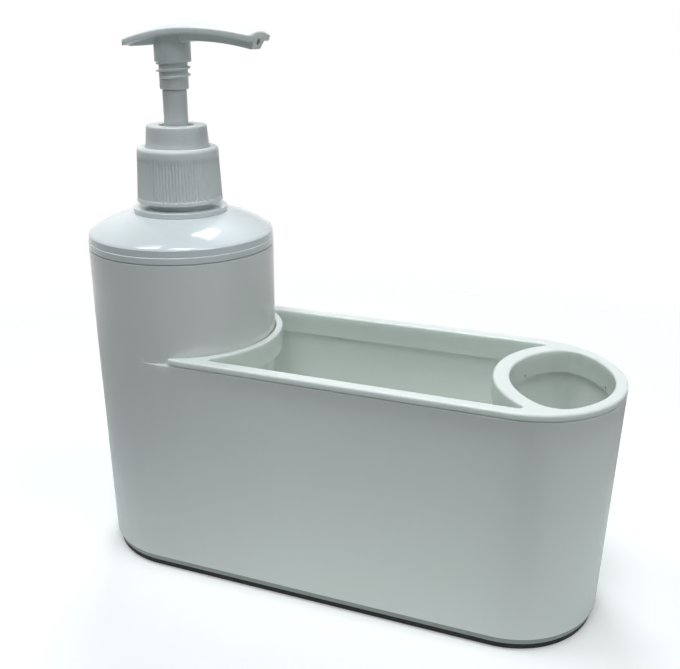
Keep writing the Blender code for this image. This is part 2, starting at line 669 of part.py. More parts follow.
def build_ribbed_closure():
    """Ribbed collar: a plain ring, the ribs, a smooth rounded shoulder and an open roof."""
    ring_top = CLOSURE_BASE + CLOSURE_RING
    rib_top = CLOSURE_TOP - CLOSURE_SHOULDER

    def wall(height):
        share = (height - CLOSURE_BASE) / (CLOSURE_TOP - CLOSURE_BASE)
        return CLOSURE_BASE_RADIUS + (CLOSURE_TOP_RADIUS - CLOSURE_BASE_RADIUS) * share

    def ribbed(height):
        crest = wall(height) - RIB_RECESS
        count = 2 * RIB_COUNT
        turns = [2 * pi * i / count for i in range(count)]
        reach = [crest - RIB_DEPTH * (i % 2) for i in range(count)]
        return [(r * cos(a), r * sin(a), height) for r, a in zip(reach, turns)]

    count, inner_count = RIB_COUNT // 2, RIB_COUNT // 4
    top_edge = rounded([(wall(rib_top), rib_top), (wall(CLOSURE_TOP), CLOSURE_TOP, CLOSURE_EDGE),
                        (CLOSURE_HOLE, CLOSURE_TOP)], closed=False)
    rings = [circle(CLOSURE_BORE, inner_count, CLOSURE_BASE),
             circle(wall(CLOSURE_BASE), count, CLOSURE_BASE),
             circle(wall(ring_top), count, ring_top)]
    rings += [ribbed(ring_top), ribbed(rib_top)]
    rings += [circle(r, count, z) for r, z in top_edge]
    rings += [circle(CLOSURE_HOLE, count, ROOF_BASE),
              circle(CLOSURE_BORE, inner_count, ROOF_BASE)]
    closure = make("ribbed_closure", skin(rings, closed=True), (0.72, 0.75, 0.74), 0.35)
    start = NECK_TOP - NECK_THREAD_DROP - (NECK_THREAD_TURNS + 1 / 2) * NECK_THREAD_PITCH
    ridge = thread_ridge(CLOSURE_BORE, CLOSURE_BORE - NECK_THREAD_DEPTH, NECK_THREAD_WIDTH,
                         NECK_THREAD_PITCH, NECK_THREAD_TURNS, start)
    combine(closure, "closure_thread", ridge, "UNION")
    return closure


def build_lock_collar():
    """Collar that plugs into the housing, guides the stem and takes the lock thread."""
    lock_base = COLLAR_TOP - LOCK_LENGTH
    plug_radius = HOUSING_MOUTH_RADIUS - HOUSING_WALL - GAP
    guide = GUIDE_BORE + GUIDE_WALL
    recess = COLLAR_BASE + COLLAR_RECESS
    post_bore = POST_RADIUS + LOCK_CLEARANCE
    section = rounded([
        (GUIDE_BORE, COLLAR_BASE), (guide, COLLAR_BASE), (guide, recess),
        (plug_radius - PLUG_TUBE_WALL, recess), (plug_radius - PLUG_TUBE_WALL, COLLAR_BASE),
        (plug_radius, COLLAR_BASE), (plug_radius, COLLAR_FLANGE_BASE),
        (COLLAR_FLANGE_RADIUS, COLLAR_FLANGE_BASE), (COLLAR_FLANGE_RADIUS, COLLAR_FLANGE_TOP),
        (COLLAR_BASE_RADIUS, COLLAR_FLANGE_TOP), (COLLAR_BASE_RADIUS, CLOSURE_TOP),
        (COLLAR_TOP_RADIUS, COLLAR_TOP, COLLAR_EDGE), (LOCK_BORE, COLLAR_TOP),
        (LOCK_BORE, lock_base), (post_bore, lock_base - LOCK_DEPTH),
        (post_bore, lock_base - LOCK_DEPTH - LOCK_PITCH),
        (GUIDE_BORE, lock_base - LOCK_DEPTH - LOCK_PITCH - GUIDE_WALL)])
    collar = make("lock_collar", lathe(section, PUMP_SEGMENTS), (0.68, 0.71, 0.71), 0.35)
    ridge = thread_ridge(LOCK_BORE, post_bore, LOCK_PITCH / 2, LOCK_PITCH, LOCK_TURNS,
                         lock_base + LOCK_PITCH / 2)
    combine(collar, "collar_thread", ridge, "UNION")
    return collar


def build_pump_housing():
    """Pump chamber with its flange, the ball's seat and the dip tube's socket."""
    mouth, chamber = HOUSING_MOUTH_RADIUS, CHAMBER_BORE + HOUSING_WALL
    socket = SOCKET_BORE + SOCKET_WALL
    pocket_wall = BALL_POCKET + HOUSING_WALL
    section = [
        (HOUSING_FLANGE_RADIUS, HOUSING_TOP), (HOUSING_FLANGE_RADIUS, HOUSING_FLANGE_BASE),
        (mouth, HOUSING_FLANGE_BASE), (mouth, MOUTH_BASE), (chamber, MOUTH_BASE - HOUSING_TAPER),
        (chamber, CHAMBER_BASE - HOUSING_WALL), (max(pocket_wall, socket), BALL_SEAT),
        (socket, SOCKET_TOP), (socket, SOCKET_BASE), (SOCKET_BORE, SOCKET_BASE),
        (SOCKET_BORE, SOCKET_TOP), (BALL_SEAT_BORE, SOCKET_TOP), (BALL_SEAT_BORE, BALL_SEAT),
        (BALL_POCKET, BALL_SEAT + BALL_POCKET - BALL_SEAT_BORE), (BALL_POCKET, CHAMBER_BASE),
        (CHAMBER_BORE, CHAMBER_BASE), (CHAMBER_BORE, MOUTH_BASE - HOUSING_TAPER),
        (mouth - HOUSING_WALL, MOUTH_BASE), (mouth - HOUSING_WALL, HOUSING_TOP)]
    return make("pump_housing", lathe(section, INNER_SEGMENTS), (0.80, 0.82, 0.80), 0.4)


def build_neck_gasket():
    """Flat gasket between the neck's lip and the housing's flange."""
    inner, outer = HOUSING_MOUTH_RADIUS + GAP, HOUSING_FLANGE_RADIUS
    section = [(inner, GASKET_TOP), (outer, GASKET_TOP),
               (outer, GASKET_TOP - GASKET_THICKNESS), (inner, GASKET_TOP - GASKET_THICKNESS)]
    return make("neck_gasket", lathe(section, INNER_SEGMENTS), (0.85, 0.85, 0.82), 0.6)


def build_inlet_ball():
    """Ball of the inlet valve, resting on the housing's seat."""
    section = [(0, BALL_CENTRE + BALL_RADIUS)]
    section += [(BALL_RADIUS * sin(a), BALL_CENTRE + BALL_RADIUS * cos(a))
                for a in [pi * i / BALL_RINGS for i in range(1, BALL_RINGS)]]
    section.append((0, BALL_CENTRE - BALL_RADIUS))
    return make("inlet_ball", lathe(section, INNER_SEGMENTS), (0.7, 0.8, 0.8), 0.05)


def build_ball_cage():
    """Slotted disc that keeps the ball in its pocket and carries the spring."""
    outer = CHAMBER_BORE - GAP
    section = [(0, CAGE_BASE), (outer, CAGE_BASE), (outer, CAGE_TOP), (0, CAGE_TOP)]
    cage = make("ball_cage", lathe(section, INNER_SEGMENTS), (0.78, 0.80, 0.78), 0.4)
    inner = outer - CAGE_RIM - SPRING_WIRE
    slot = (inner - CAGE_SLOT, inner * sqrt(2) - CAGE_SLOT, CAGE_THICKNESS + OVERRUN)
    for i, side in enumerate((-1, 1)):
        centre = (side * (CAGE_SLOT + slot[0]) / 2, 0, (CAGE_BASE + CAGE_TOP) / 2)
        combine(cage, f"cage_slot_{i}", box(slot, centre), "DIFFERENCE")
    return cage


def build_dip_tube():
    """Tube from the housing's socket to just over the reservoir's floor, cut at a slant."""
    top = SOCKET_TOP - GAP
    foot = POCKET_FLOOR + DIP_TUBE_FOOT
    inner = DIP_TUBE_RADIUS - DIP_TUBE_WALL

    def slanted(radius):
        slope = DIP_TUBE_CUT / (2 * DIP_TUBE_RADIUS)
        return [(x, y, z + slope * (x + DIP_TUBE_RADIUS))
                for x, y, z in circle(radius, INNER_SEGMENTS, foot)]

    rings = [circle(DIP_TUBE_RADIUS, INNER_SEGMENTS, top), slanted(DIP_TUBE_RADIUS),
             slanted(inner), circle(inner, INNER_SEGMENTS, top)]
    return make("dip_tube", skin(rings, closed=True), (0.85, 0.87, 0.85), 0.3)


def build_return_spring():
    """Coil between the cage and the plunger tip."""
    wire = SPRING_WIRE / 2
    low, high = CAGE_TOP + GAP + wire, TIP_FLANGE_BASE - GAP - wire
    count = SPRING_TURNS * SPRING_POINTS
    least = (high - low) / SPRING_TURNS - SPRING_WIRE
    print(f"return_spring: least gap between turns {least * 1000:.2f} mm")
    curve = bpy.data.curves.new("return_spring", "CURVE")
    curve.dimensions = "3D"
    curve.bevel_depth = wire
    curve.bevel_resolution = 1
    curve.use_fill_caps = True
    spline = curve.splines.new("POLY")
    spline.points.add(count)
    for i, point in enumerate(spline.points):
        angle = 2 * pi * i / SPRING_POINTS
        height = low + (high - low) * i / count
        point.co = (SPRING_RADIUS * cos(angle), SPRING_RADIUS * sin(angle), height, 1)
    spring = bpy.data.objects.new("return_spring", curve)
    spring.location = (AXIS_X, 0, 0)
    curve.materials.append(material("return_spring", (0.75, 0.76, 0.78), 0.25, 1.0))
    bpy.context.scene.collection.objects.link(spring)
    return spring


# Pump pieces that travel with the head

def build_piston_seal():
    """Piston ring with a sealing lip at each end."""
    lip, waist = CHAMBER_BORE - GAP, CHAMBER_BORE - GAP - PISTON_WAIST
    bore = STEM_TAIL_RADIUS + GAP
    section = [(bore, PISTON_BASE), (waist - PISTON_LIP, PISTON_BASE + PISTON_LIP),
               (lip - PISTON_LIP / 2, PISTON_BASE), (lip, PISTON_BASE), (lip, PISTON_BASE + PISTON_LIP),
               (waist, PISTON_BASE + 2 * PISTON_LIP), (waist, PISTON_TOP - 2 * PISTON_LIP),
               (lip, PISTON_TOP - PISTON_LIP), (lip, PISTON_TOP), (lip - PISTON_LIP / 2, PISTON_TOP),
               (waist - PISTON_LIP, PISTON_TOP - PISTON_LIP), (bore, PISTON_TOP)]
    return make("piston_seal", lathe(section, INNER_SEGMENTS), (0.85, 0.86, 0.84), 0.45)


def build_plunger_tip():
    """Tip in the stem's lower end: carries the piston and takes the spring's push."""
    spigot = STEM_BORE - GAP
    section = [(0, TIP_FLANGE_BASE - TIP_BOSS), (TIP_BOSS_RADIUS, TIP_FLANGE_BASE - TIP_BOSS),
               (TIP_BOSS_RADIUS, TIP_FLANGE_BASE), (TIP_FLANGE_RADIUS, TIP_FLANGE_BASE),
               (TIP_FLANGE_RADIUS, TIP_FLANGE_TOP), (spigot, TIP_FLANGE_TOP),
               (spigot, TIP_FLANGE_TOP + TIP_SPIGOT), (0, TIP_FLANGE_TOP + TIP_SPIGOT)]
    tip = make("plunger_tip", lathe(section, INNER_SEGMENTS), (0.75, 0.78, 0.76), 0.4)
    flat = (spigot, 2 * STEM_BORE, TIP_SPIGOT + OVERRUN)
    height = TIP_FLANGE_TOP + (TIP_SPIGOT + OVERRUN) / 2
    for i, side in enumerate((-1, 1)):
        centre = (side * (TIP_WEB + spigot) / 2, 0, height)
        combine(tip, f"tip_flat_{i}", box(flat, centre), "DIFFERENCE")
    return tip


def build_pump_stem():
    """Hollow stem: spigot in the head, the visible shank, the stop and the tail with its ports."""
    section = [
        (STEM_BORE, STEM_TOP + STEM_SPIGOT), (STEM_SPIGOT_RADIUS, STEM_TOP + STEM_SPIGOT),
        (STEM_SPIGOT_RADIUS, STEM_TOP), (STEM_RADIUS, STEM_TOP), (STEM_RADIUS, STOP_TOP),
        (STEM_STOP_RADIUS, STOP_TOP), (STEM_STOP_RADIUS, STOP_BASE), (STEM_RADIUS, STOP_BASE),
        (STEM_RADIUS, STEM_SHOULDER), (STEM_TAIL_RADIUS, STEM_SHOULDER),
        (STEM_TAIL_RADIUS, TIP_FLANGE_TOP + GAP), (STEM_BORE, TIP_FLANGE_TOP + GAP)]
    stem = make("pump_stem", lathe(section, PUMP_SEGMENTS), (0.72, 0.75, 0.75), 0.35)
    reach = STEM_TAIL_RADIUS + OVERRUN
    middle = (PISTON_BASE + PISTON_TOP) / 2
    port = [[(x, y, z + middle) for y, z in arc((0, 0), STEM_PORT_RADIUS, 0, 2 * pi, PORT_SIDES)[:-1]]
            for x in (-reach, reach)]
    combine(stem, "stem_port", skin(port), "DIFFERENCE")
    return stem


# Head

def head_share(x):
    """How far a station lies from the arch's apex towards the nose or the tail."""
    if x >= HEAD_APEX:
        return (x - HEAD_APEX) / (HEAD_REACH - HEAD_APEX)
    return (HEAD_APEX - x) / (HEAD_APEX + HEAD_TAIL)


def head_edge(x):
    """Height of the saddle's side edge."""
    drop = HEAD_NOSE_DROP if x >= HEAD_APEX else HEAD_TAIL_DROP
    return HEAD_EDGE_TOP - drop * head_share(x) ** 2


def keel_base(x):
    """Height of the keel's underside: curved towards the nose, straight towards the tail."""
    share = head_share(x)
    if x >= HEAD_APEX:
        return KEEL_TOP - KEEL_NOSE_DROP * share ** 2
    return KEEL_TOP - KEEL_TAIL_DROP * share


def head_half_width(x):
    """Half width of the saddle in plan, with its rounded corners."""
    run = min(HEAD_REACH - x, x + HEAD_TAIL, HEAD_CORNER)
    return HEAD_HALF_WIDTH - HEAD_CORNER + sqrt(HEAD_CORNER ** 2 - (HEAD_CORNER - run) ** 2)


def head_section(x):
    """A section across the head: crowned top, thin lip and the keel under it."""
    half, edge = head_half_width(x), head_edge(x)
    crown = HEAD_CROWN - HEAD_CROWN_LOSS * head_share(x) ** 2
    lip = edge - HEAD_LIP
    base = min(keel_base(x), lip - GAP)
    spans = [1 - 2 * i / CROWN_STEPS for i in range(CROWN_STEPS + 1)]
    section = [(half * s, edge + crown * (1 - s * s)) for s in spans]
    section += [(-half, lip), (-KEEL_ROOT_HALF_WIDTH, lip), (-KEEL_HALF_WIDTH, base),
                (KEEL_HALF_WIDTH, base), (KEEL_ROOT_HALF_WIDTH, lip), (half, lip)]
    undercut = NOSE_UNDERCUT * max(x / HEAD_REACH, 0) ** 2
    height = edge - base
    return [(x - undercut * max(edge - z, 0) / height, y, z) for y, z in section]


def build_actuator_head():
    """Arched head with the post, the lock thread, the skirt and the soap's channel."""
    corner = [HEAD_CORNER * share for share in HEAD_CORNER_SHARES]
    inner = HEAD_REACH + HEAD_TAIL - 2 * HEAD_CORNER
    stations = [-HEAD_TAIL + c for c in corner]
    stations += [-HEAD_TAIL + HEAD_CORNER + inner * i / HEAD_STATIONS
                 for i in range(HEAD_STATIONS + 1)]
    stations += [HEAD_REACH - c for c in reversed(corner)]
    head = make("actuator_head", skin([head_section(x) for x in stations]),
                (0.78, 0.81, 0.81), 0.3)
    top = HEAD_EDGE_TOP - HEAD_LIP / 2
    bore = STEM_SPIGOT_RADIUS + GAP
    skirt = rounded([(0, POST_END), (POST_RADIUS, POST_END), (POST_RADIUS, SKIRT_BASE),
                     (SKIRT_RADIUS, SKIRT_BASE, SKIRT_EDGE), (SKIRT_RADIUS, top), (0, top)],
                    closed=False)
    combine(head, "head_post", lathe(skirt, PUMP_SEGMENTS), "UNION")
    ridge = thread_ridge(POST_RADIUS, LOCK_CREST, LOCK_WIDTH, LOCK_PITCH, LOCK_TURNS,
                         LOCK_START + LOCK_WIDTH / 2, radians(LOCK_START_ANGLE))
    combine(head, "lock_thread", ridge, "UNION")
    socket_top = STEM_TOP + STEM_SPIGOT + GAP
    channel_top = channel_height(0) + CHANNEL_RADIUS / 2
    well = [(0, POST_END - OVERRUN), (bore, POST_END - OVERRUN), (bore, socket_top),
            (STEM_BORE, socket_top), (STEM_BORE, channel_top), (0, channel_top)]
    combine(head, "stem_socket", lathe(well, INNER_SEGMENTS), "DIFFERENCE")
    combine(head, "soap_channel", build_channel(), "DIFFERENCE")
    return head


def channel_height(x):
    return keel_base(x) + CHANNEL_HEIGHT


def build_channel():
    """The curved channel from the stem's socket to the nose."""
    sections = []
    for i in range(CHANNEL_STEPS + 1):
        x = (HEAD_REACH + OVERRUN) * i / CHANNEL_STEPS
        centre = (0, channel_height(min(x, HEAD_REACH)))
        ring = arc(centre, CHANNEL_RADIUS, 0, 2 * pi, CHANNEL_SIDES)[:-1]
        sections.append([(x, y, z) for y, z in ring])
    return skin(sections)


def main():
    for old in list(bpy.data.objects):
        bpy.data.objects.remove(old, do_unlink=True)
    build_base_pad()
    build_outer_body()
    build_rim_insert()
    build_reservoir_lid()
    build_lid_seal()
    build_ribbed_closure()
    build_lock_collar()
    build_neck_gasket()
    build_pump_housing()
    build_ball_cage()
    build_inlet_ball()
    build_return_spring()
    build_dip_tube()
    build_piston_seal()
    build_plunger_tip()
    build_pump_stem()
    build_actuator_head()


main()
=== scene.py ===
# Looks of the dish soap dispenser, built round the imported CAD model.
# Every piece is made again at fine resolution from the CAD model's own sizes, with its edges
# softened, and takes the place of its CAD node. Metres, in the CAD model's frame.

import json
from math import acos, atan2, ceil, cos, hypot, pi, radians, sin, sqrt, tan

import bmesh
import bpy
from mathutils import Matrix, Vector


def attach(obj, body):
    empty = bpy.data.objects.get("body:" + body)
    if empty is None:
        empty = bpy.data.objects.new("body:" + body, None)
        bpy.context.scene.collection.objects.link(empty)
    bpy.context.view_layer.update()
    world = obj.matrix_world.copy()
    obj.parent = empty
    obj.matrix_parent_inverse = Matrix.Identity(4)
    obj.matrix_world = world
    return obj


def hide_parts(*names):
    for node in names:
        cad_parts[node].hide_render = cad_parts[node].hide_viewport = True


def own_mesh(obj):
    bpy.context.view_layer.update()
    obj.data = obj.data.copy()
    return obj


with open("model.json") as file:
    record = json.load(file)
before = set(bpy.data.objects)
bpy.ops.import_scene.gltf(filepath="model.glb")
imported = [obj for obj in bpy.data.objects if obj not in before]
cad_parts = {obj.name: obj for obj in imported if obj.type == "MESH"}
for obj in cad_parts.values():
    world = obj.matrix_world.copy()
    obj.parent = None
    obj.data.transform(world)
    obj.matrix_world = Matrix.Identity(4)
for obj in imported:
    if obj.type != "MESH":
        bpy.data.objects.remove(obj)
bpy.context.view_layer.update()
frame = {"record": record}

# Fits shared by all pieces
GAP = 0.0003
OVERRUN = 0.002
SPARE = 0.0005

# Body: the reservoir's tower and the caddy
CADDY_WIDTH = 0.074
CENTRE_DISTANCE = 0.1413
TOWER_DRAFT = 0.00015
RIM_TOP = 0.0968
TOWER_RISE = 0.0363
WALL = 0.0022
FLOOR = 0.0026
CADDY_DRAFT = 0.00135
END_DRAFT = 0.0007
BODY_FOOT_EDGE = 0.0008
POCKET_FLOOR_EDGE = 0.002
PLINTH_HEIGHT = 0.0024
PLINTH_INSET = 0.001
PAD_THICKNESS = 0.0021
PAD_INSET = 0.0004
PAD_EDGE = 0.0005

# Partition between the sponge and the brush, an arc struck from beyond the round end's centre
PARTITION_SPREAD = 0.02694
PARTITION_INSET = 0.0022
PARTITION_WALL = 0.0018
SPONGE_POCKET_CORNER = 0.0022
BRUSH_POCKET_CORNER = 0.006

# Rim insert
RIM_PLATE = 0.0025
RIM_SIDE_BAND = 0.00493
RIM_END_BAND = 0.0044
RIM_CROSS_BAND = 0.006
RIM_TOWER_BAND = 0.0029
RIM_TOWER_SLIT = 0.0004
RIM_TIP_REACH = 0.0122
RIM_EDGE = 0.0008
SPONGE_CORNER = 0.0014
BRUSH_CORNER = 0.01
SKIRT_WALL = 0.0015
SKIRT_DEPTH = 0.007
NOTCH_WIDTH = 0.0012
NOTCH_HEIGHT = 0.0016
NOTCH_END_ANGLE = 27.0
NOTCH_PARTITION_ANGLE = 151.0

# Reservoir lid
LID_BAND = 0.0055
LID_LEDGE = 0.0027
LID_LEDGE_STEP = 0.0003
LID_WALL = 0.002
DOME_RIM_RISE = 0.0006
DOME_RIM_INSET = 0.0005
DOME_START_INSET = 0.0006
DOME_TOP_SLOPE = 8.0
PLUG_DEPTH = 0.008
PLUG_WALL = 0.003
SEAL_THICKNESS = 0.0014
SEAL_DROP = 0.004
NECK_FLANGE_REACH = 0.006
NECK_FLANGE = 0.002
LID_RISE = 0.0154
NECK_FIT = 0.0014
NECK_WALL = 0.0017

# Screw thread between the neck and the closure
NECK_THREAD_DEPTH = 0.0009
NECK_THREAD_PITCH = 0.00423
NECK_THREAD_WIDTH = 0.0013
NECK_THREAD_TURNS = 1.4
NECK_THREAD_DROP = 0.002
THREAD_FADE_SHARE = 0.15
THREAD_START_SHARE = 0.1
THREAD_CREST_SHARE = 0.25

# Closure, the ribbed collar
CLOSURE_STANDOFF = 0.0023
CLOSURE_HEIGHT = 0.0213
CLOSURE_WALL = 0.0029
CLOSURE_TAPER = 0.0011
CLOSURE_FIT = 0.00065
CLOSURE_ROOF = 0.0016
CLOSURE_RING = 0.0014
CLOSURE_SHOULDER = 0.003
CLOSURE_EDGE = 0.0016
RIB_COUNT = 80
RIB_RECESS = 0.0001

# Lock collar, the fixed collar in the closure's roof that guides and locks the stem
COLLAR_RISE = 0.0083
COLLAR_BASE_RADIUS = 0.01245
COLLAR_TAPER = 0.00065
COLLAR_EDGE = 0.0006
COLLAR_FLANGE = 0.0012
COLLAR_FLANGE_REACH = 0.001
COLLAR_PLUG = 0.0095
GUIDE_WALL = 0.0013
PLUG_TUBE_WALL = 0.0012
COLLAR_RECESS = 0.0065

# Lock thread on the head's post. It meets the collar just past the end of the stroke and screws
# down into it there, which is how the head is locked.
LOCK_PITCH = 0.0027
LOCK_TURNS = 2.3
LOCK_START_ANGLE = 223.0
LOCK_DEPTH = 0.001
LOCK_WIDTH = 0.0011
LOCK_CLEARANCE = 0.0003
POST_RADIUS = 0.00555
STEM_SHOWN = 0.0135
LOCK_LEAD = 0.0006
POST_LENGTH = 0.0101
SKIRT_LENGTH = 0.0077
SKIRT_RADIUS = 0.007
SKIRT_EDGE = 0.0004

# Stem, piston and plunger tip
STROKE = 0.0165
STEM_RADIUS = 0.0047
STEM_BORE = 0.0027
STEM_SPIGOT_RADIUS = 0.0038
STEM_SPIGOT = 0.011
STEM_STOP_RADIUS = 0.007
STEM_STOP = 0.0012
STEM_TAIL_RADIUS = 0.0042
STEM_PORT_RADIUS = 0.0008
PISTON_HEIGHT = 0.0046
PISTON_LIP = 0.0009
PISTON_WAIST = 0.0012
TIP_FLANGE = 0.0012
TIP_FLANGE_RADIUS = 0.0062
TIP_BOSS_RADIUS = 0.0044
TIP_BOSS = 0.002
TIP_SPIGOT = 0.007
TIP_WEB = 0.002

# Pump housing, its valve and the dip tube
HOUSING_WALL = 0.001
HOUSING_FLANGE = 0.0013
HOUSING_FLANGE_REACH = 0.0005
HOUSING_MOUTH_FIT = 0.0006
HOUSING_TAPER = 0.0018
CHAMBER_BORE = 0.0076
CHAMBER_DEPTH = 0.046
BALL_RADIUS = 0.0026
BALL_LIFT = 0.0012
BALL_SEAT_BORE = 0.002
BALL_POCKET_CLEARANCE = 0.0008
CAGE_THICKNESS = 0.0015
CAGE_RIM = 0.0014
CAGE_SLOT = 0.0016
SOCKET_DEPTH = 0.0085
SOCKET_WALL = 0.001
GASKET_THICKNESS = 0.0012
DIP_TUBE_RADIUS = 0.00375
DIP_TUBE_WALL = 0.0009
DIP_TUBE_FOOT = 0.003
DIP_TUBE_CUT = 0.003

# Return spring
SPRING_WIRE = 0.0008
SPRING_RADIUS = 0.0054
SPRING_TURNS = 8

# Head: an arched saddle with a keel under it that holds the soap's channel
HEAD_REACH = 0.0374
HEAD_TAIL = 0.0166
HEAD_HALF_WIDTH = 0.0096
HEAD_CORNER = 0.0014
HEAD_CORNER_SHARES = (0.5, 0.7)
HEAD_APEX = 0.011
HEAD_NOSE_DROP = 0.0026
HEAD_TAIL_DROP = 0.0047
HEAD_CROWN = 0.002096
HEAD_CROWN_LOSS = 0.0006
HEAD_LIP = 0.0021
KEEL_DEPTH = 0.0048
KEEL_TAIL_DROP = 0.0022
KEEL_NOSE_DROP = 0.0028
KEEL_ROOT_HALF_WIDTH = 0.0048
KEEL_HALF_WIDTH = 0.0038
NOSE_UNDERCUT = 0.0021
CHANNEL_RADIUS = 0.0015
CHANNEL_HEIGHT = 0.0026

# Facets
TOWER_SEGMENTS = 192
PUMP_SEGMENTS = 96
INNER_SEGMENTS = 72
THREAD_POINTS = 72
SMOOTH_ANGLE = 32.0
ARC_STEPS = 4
FLOOR_STEPS = 5
DOME_STEPS = 28
SEAL_SIDES = 16
BALL_RINGS = 24
RIB_POINTS = 8
CHANNEL_STEPS = 24
CHANNEL_SIDES = 24
PORT_SIDES = 16
SPRING_POINTS = 32
SPRING_SIDES = 10
HEAD_STATIONS = 64
CROWN_STEPS = 32
EDGE_STEPS = 3

# Softened edges
BODY_LIP = 0.0005
MOULD_EDGE = 0.00025
INNER_EDGE = 0.00015
HEAD_EDGE = 0.00045
SOFTEN_ANGLE = 20.0
RIB_GROOVE = 0.0005
RIB_RUN_IN = 0.0004
RIB_RUN_OUT = 0.003
RIB_FADE_STEPS = 8
SPRING_DEAD_TURNS = 1.0
SPRING_DEAD_PITCH = 1.05

# Places worked out from the sizes above
HALF_WIDTH = CADDY_WIDTH / 2
TOWER_RADIUS = HALF_WIDTH + TOWER_DRAFT
RIM_INNER_RADIUS = HALF_WIDTH + RIM_TOWER_SLIT
PARTITION_CENTRE = CENTRE_DISTANCE + PARTITION_SPREAD
PARTITION_RADIUS = HALF_WIDTH - PARTITION_INSET
AXIS_X = -(CENTRE_DISTANCE + HALF_WIDTH - TOWER_RADIUS) / 2
PLINTH_BASE = PAD_THICKNESS + GAP
BODY_BASE = PLINTH_BASE + PLINTH_HEIGHT
POCKET_FLOOR = PLINTH_BASE + FLOOR
RIM_SEAT = RIM_TOP - RIM_PLATE
WALL_TOP = RIM_SEAT - GAP
TANK_BORE = TOWER_RADIUS - WALL
LID_SEAM = RIM_TOP + TOWER_RISE
LID_BASE = LID_SEAM + GAP
SHOULDER = LID_SEAM + LID_BAND
NECK_FLANGE_TOP = LID_SEAM + LID_RISE
FLANGE_BASE = NECK_FLANGE_TOP - NECK_FLANGE
CLOSURE_BASE = NECK_FLANGE_TOP + CLOSURE_STANDOFF
CLOSURE_TOP = CLOSURE_BASE + CLOSURE_HEIGHT
COLLAR_TOP = CLOSURE_TOP + COLLAR_RISE
POST_END = COLLAR_TOP + STEM_SHOWN
SKIRT_BASE = POST_END + POST_LENGTH
KEEL_TOP = SKIRT_BASE + SKIRT_LENGTH
HEAD_EDGE_TOP = KEEL_TOP + KEEL_DEPTH
ROOF_BASE = CLOSURE_TOP - CLOSURE_ROOF
COLLAR_FLANGE_TOP = ROOF_BASE - GAP
COLLAR_FLANGE_BASE = COLLAR_FLANGE_TOP - COLLAR_FLANGE
HOUSING_TOP = COLLAR_FLANGE_BASE - GAP
HOUSING_FLANGE_BASE = HOUSING_TOP - HOUSING_FLANGE
GASKET_TOP = HOUSING_FLANGE_BASE - GAP
NECK_TOP = GASKET_TOP - GASKET_THICKNESS - GAP
COLLAR_BASE = COLLAR_FLANGE_BASE - COLLAR_PLUG
COLLAR_TOP_RADIUS = COLLAR_BASE_RADIUS - COLLAR_TAPER
COLLAR_FLANGE_RADIUS = COLLAR_BASE_RADIUS + COLLAR_FLANGE_REACH
CLOSURE_HOLE = COLLAR_BASE_RADIUS + GAP
CLOSURE_BORE = COLLAR_FLANGE_RADIUS + CLOSURE_FIT
CLOSURE_BASE_RADIUS = CLOSURE_BORE + CLOSURE_WALL
CLOSURE_TOP_RADIUS = CLOSURE_BASE_RADIUS - CLOSURE_TAPER
NECK_RADIUS = CLOSURE_BORE - NECK_FIT
NECK_BORE = NECK_RADIUS - NECK_WALL
NECK_FLANGE_RADIUS = NECK_RADIUS + NECK_FLANGE_REACH
HOUSING_FLANGE_RADIUS = NECK_RADIUS + HOUSING_FLANGE_REACH
HOUSING_MOUTH_RADIUS = NECK_BORE - HOUSING_MOUTH_FIT
GUIDE_BORE = STEM_RADIUS + GAP
LOCK_CREST = POST_RADIUS + LOCK_DEPTH
LOCK_BORE = LOCK_CREST + LOCK_CLEARANCE
LOCK_LENGTH = (LOCK_TURNS + 1) * LOCK_PITCH
LOCK_START = COLLAR_TOP + STROKE + LOCK_LEAD
STEM_TOP = POST_END - GAP
STOP_TOP = COLLAR_BASE - GAP
STOP_BASE = STOP_TOP - STEM_STOP
STEM_SHOULDER = STOP_BASE - HOUSING_TAPER
PISTON_TOP = STEM_SHOULDER - GAP
PISTON_BASE = PISTON_TOP - PISTON_HEIGHT
TIP_FLANGE_TOP = PISTON_BASE - GAP
TIP_FLANGE_BASE = TIP_FLANGE_TOP - TIP_FLANGE
MOUTH_BASE = COLLAR_BASE - GAP
CHAMBER_BASE = HOUSING_TOP - CHAMBER_DEPTH
CAGE_BASE = CHAMBER_BASE + GAP
CAGE_TOP = CAGE_BASE + CAGE_THICKNESS
BALL_CENTRE = CAGE_BASE - BALL_LIFT - GAP - BALL_RADIUS
BALL_SEAT = BALL_CENTRE - sqrt((BALL_RADIUS + GAP) ** 2 - BALL_SEAT_BORE ** 2)
BALL_POCKET = BALL_RADIUS + BALL_POCKET_CLEARANCE
SOCKET_BORE = DIP_TUBE_RADIUS + GAP
SOCKET_TOP = BALL_SEAT - BALL_RADIUS
SOCKET_BASE = SOCKET_TOP - SOCKET_DEPTH


def caddy_share(height):
    """How far down the caddy's draft a height is: 0 at the rim, 1 at the base."""
    return min(max((RIM_TOP - height) / (RIM_TOP - BODY_BASE), 0.0), 1.0)


def caddy_radius(height):
    return HALF_WIDTH - CADDY_DRAFT * caddy_share(height)


def caddy_end(height):
    return CENTRE_DISTANCE - END_DRAFT * caddy_share(height)


def tower_radius(height):
    if height <= RIM_TOP:
        return caddy_radius(height)
    rise = min((height - RIM_TOP) / (LID_SEAM - RIM_TOP), 1.0)
    return HALF_WIDTH + (TOWER_RADIUS - HALF_WIDTH) * rise


def arc(centre, radius, start, end, steps):
    """Points of an arc in the plane, both ends included."""
    turns = [start + (end - start) * i / steps for i in range(steps + 1)]
    return [(centre[0] + radius * cos(a), centre[1] + radius * sin(a)) for a in turns]


def circle(radius, count, height):
    turns = [2 * pi * i / count for i in range(count)]
    return [(radius * cos(a), radius * sin(a), height) for a in turns]


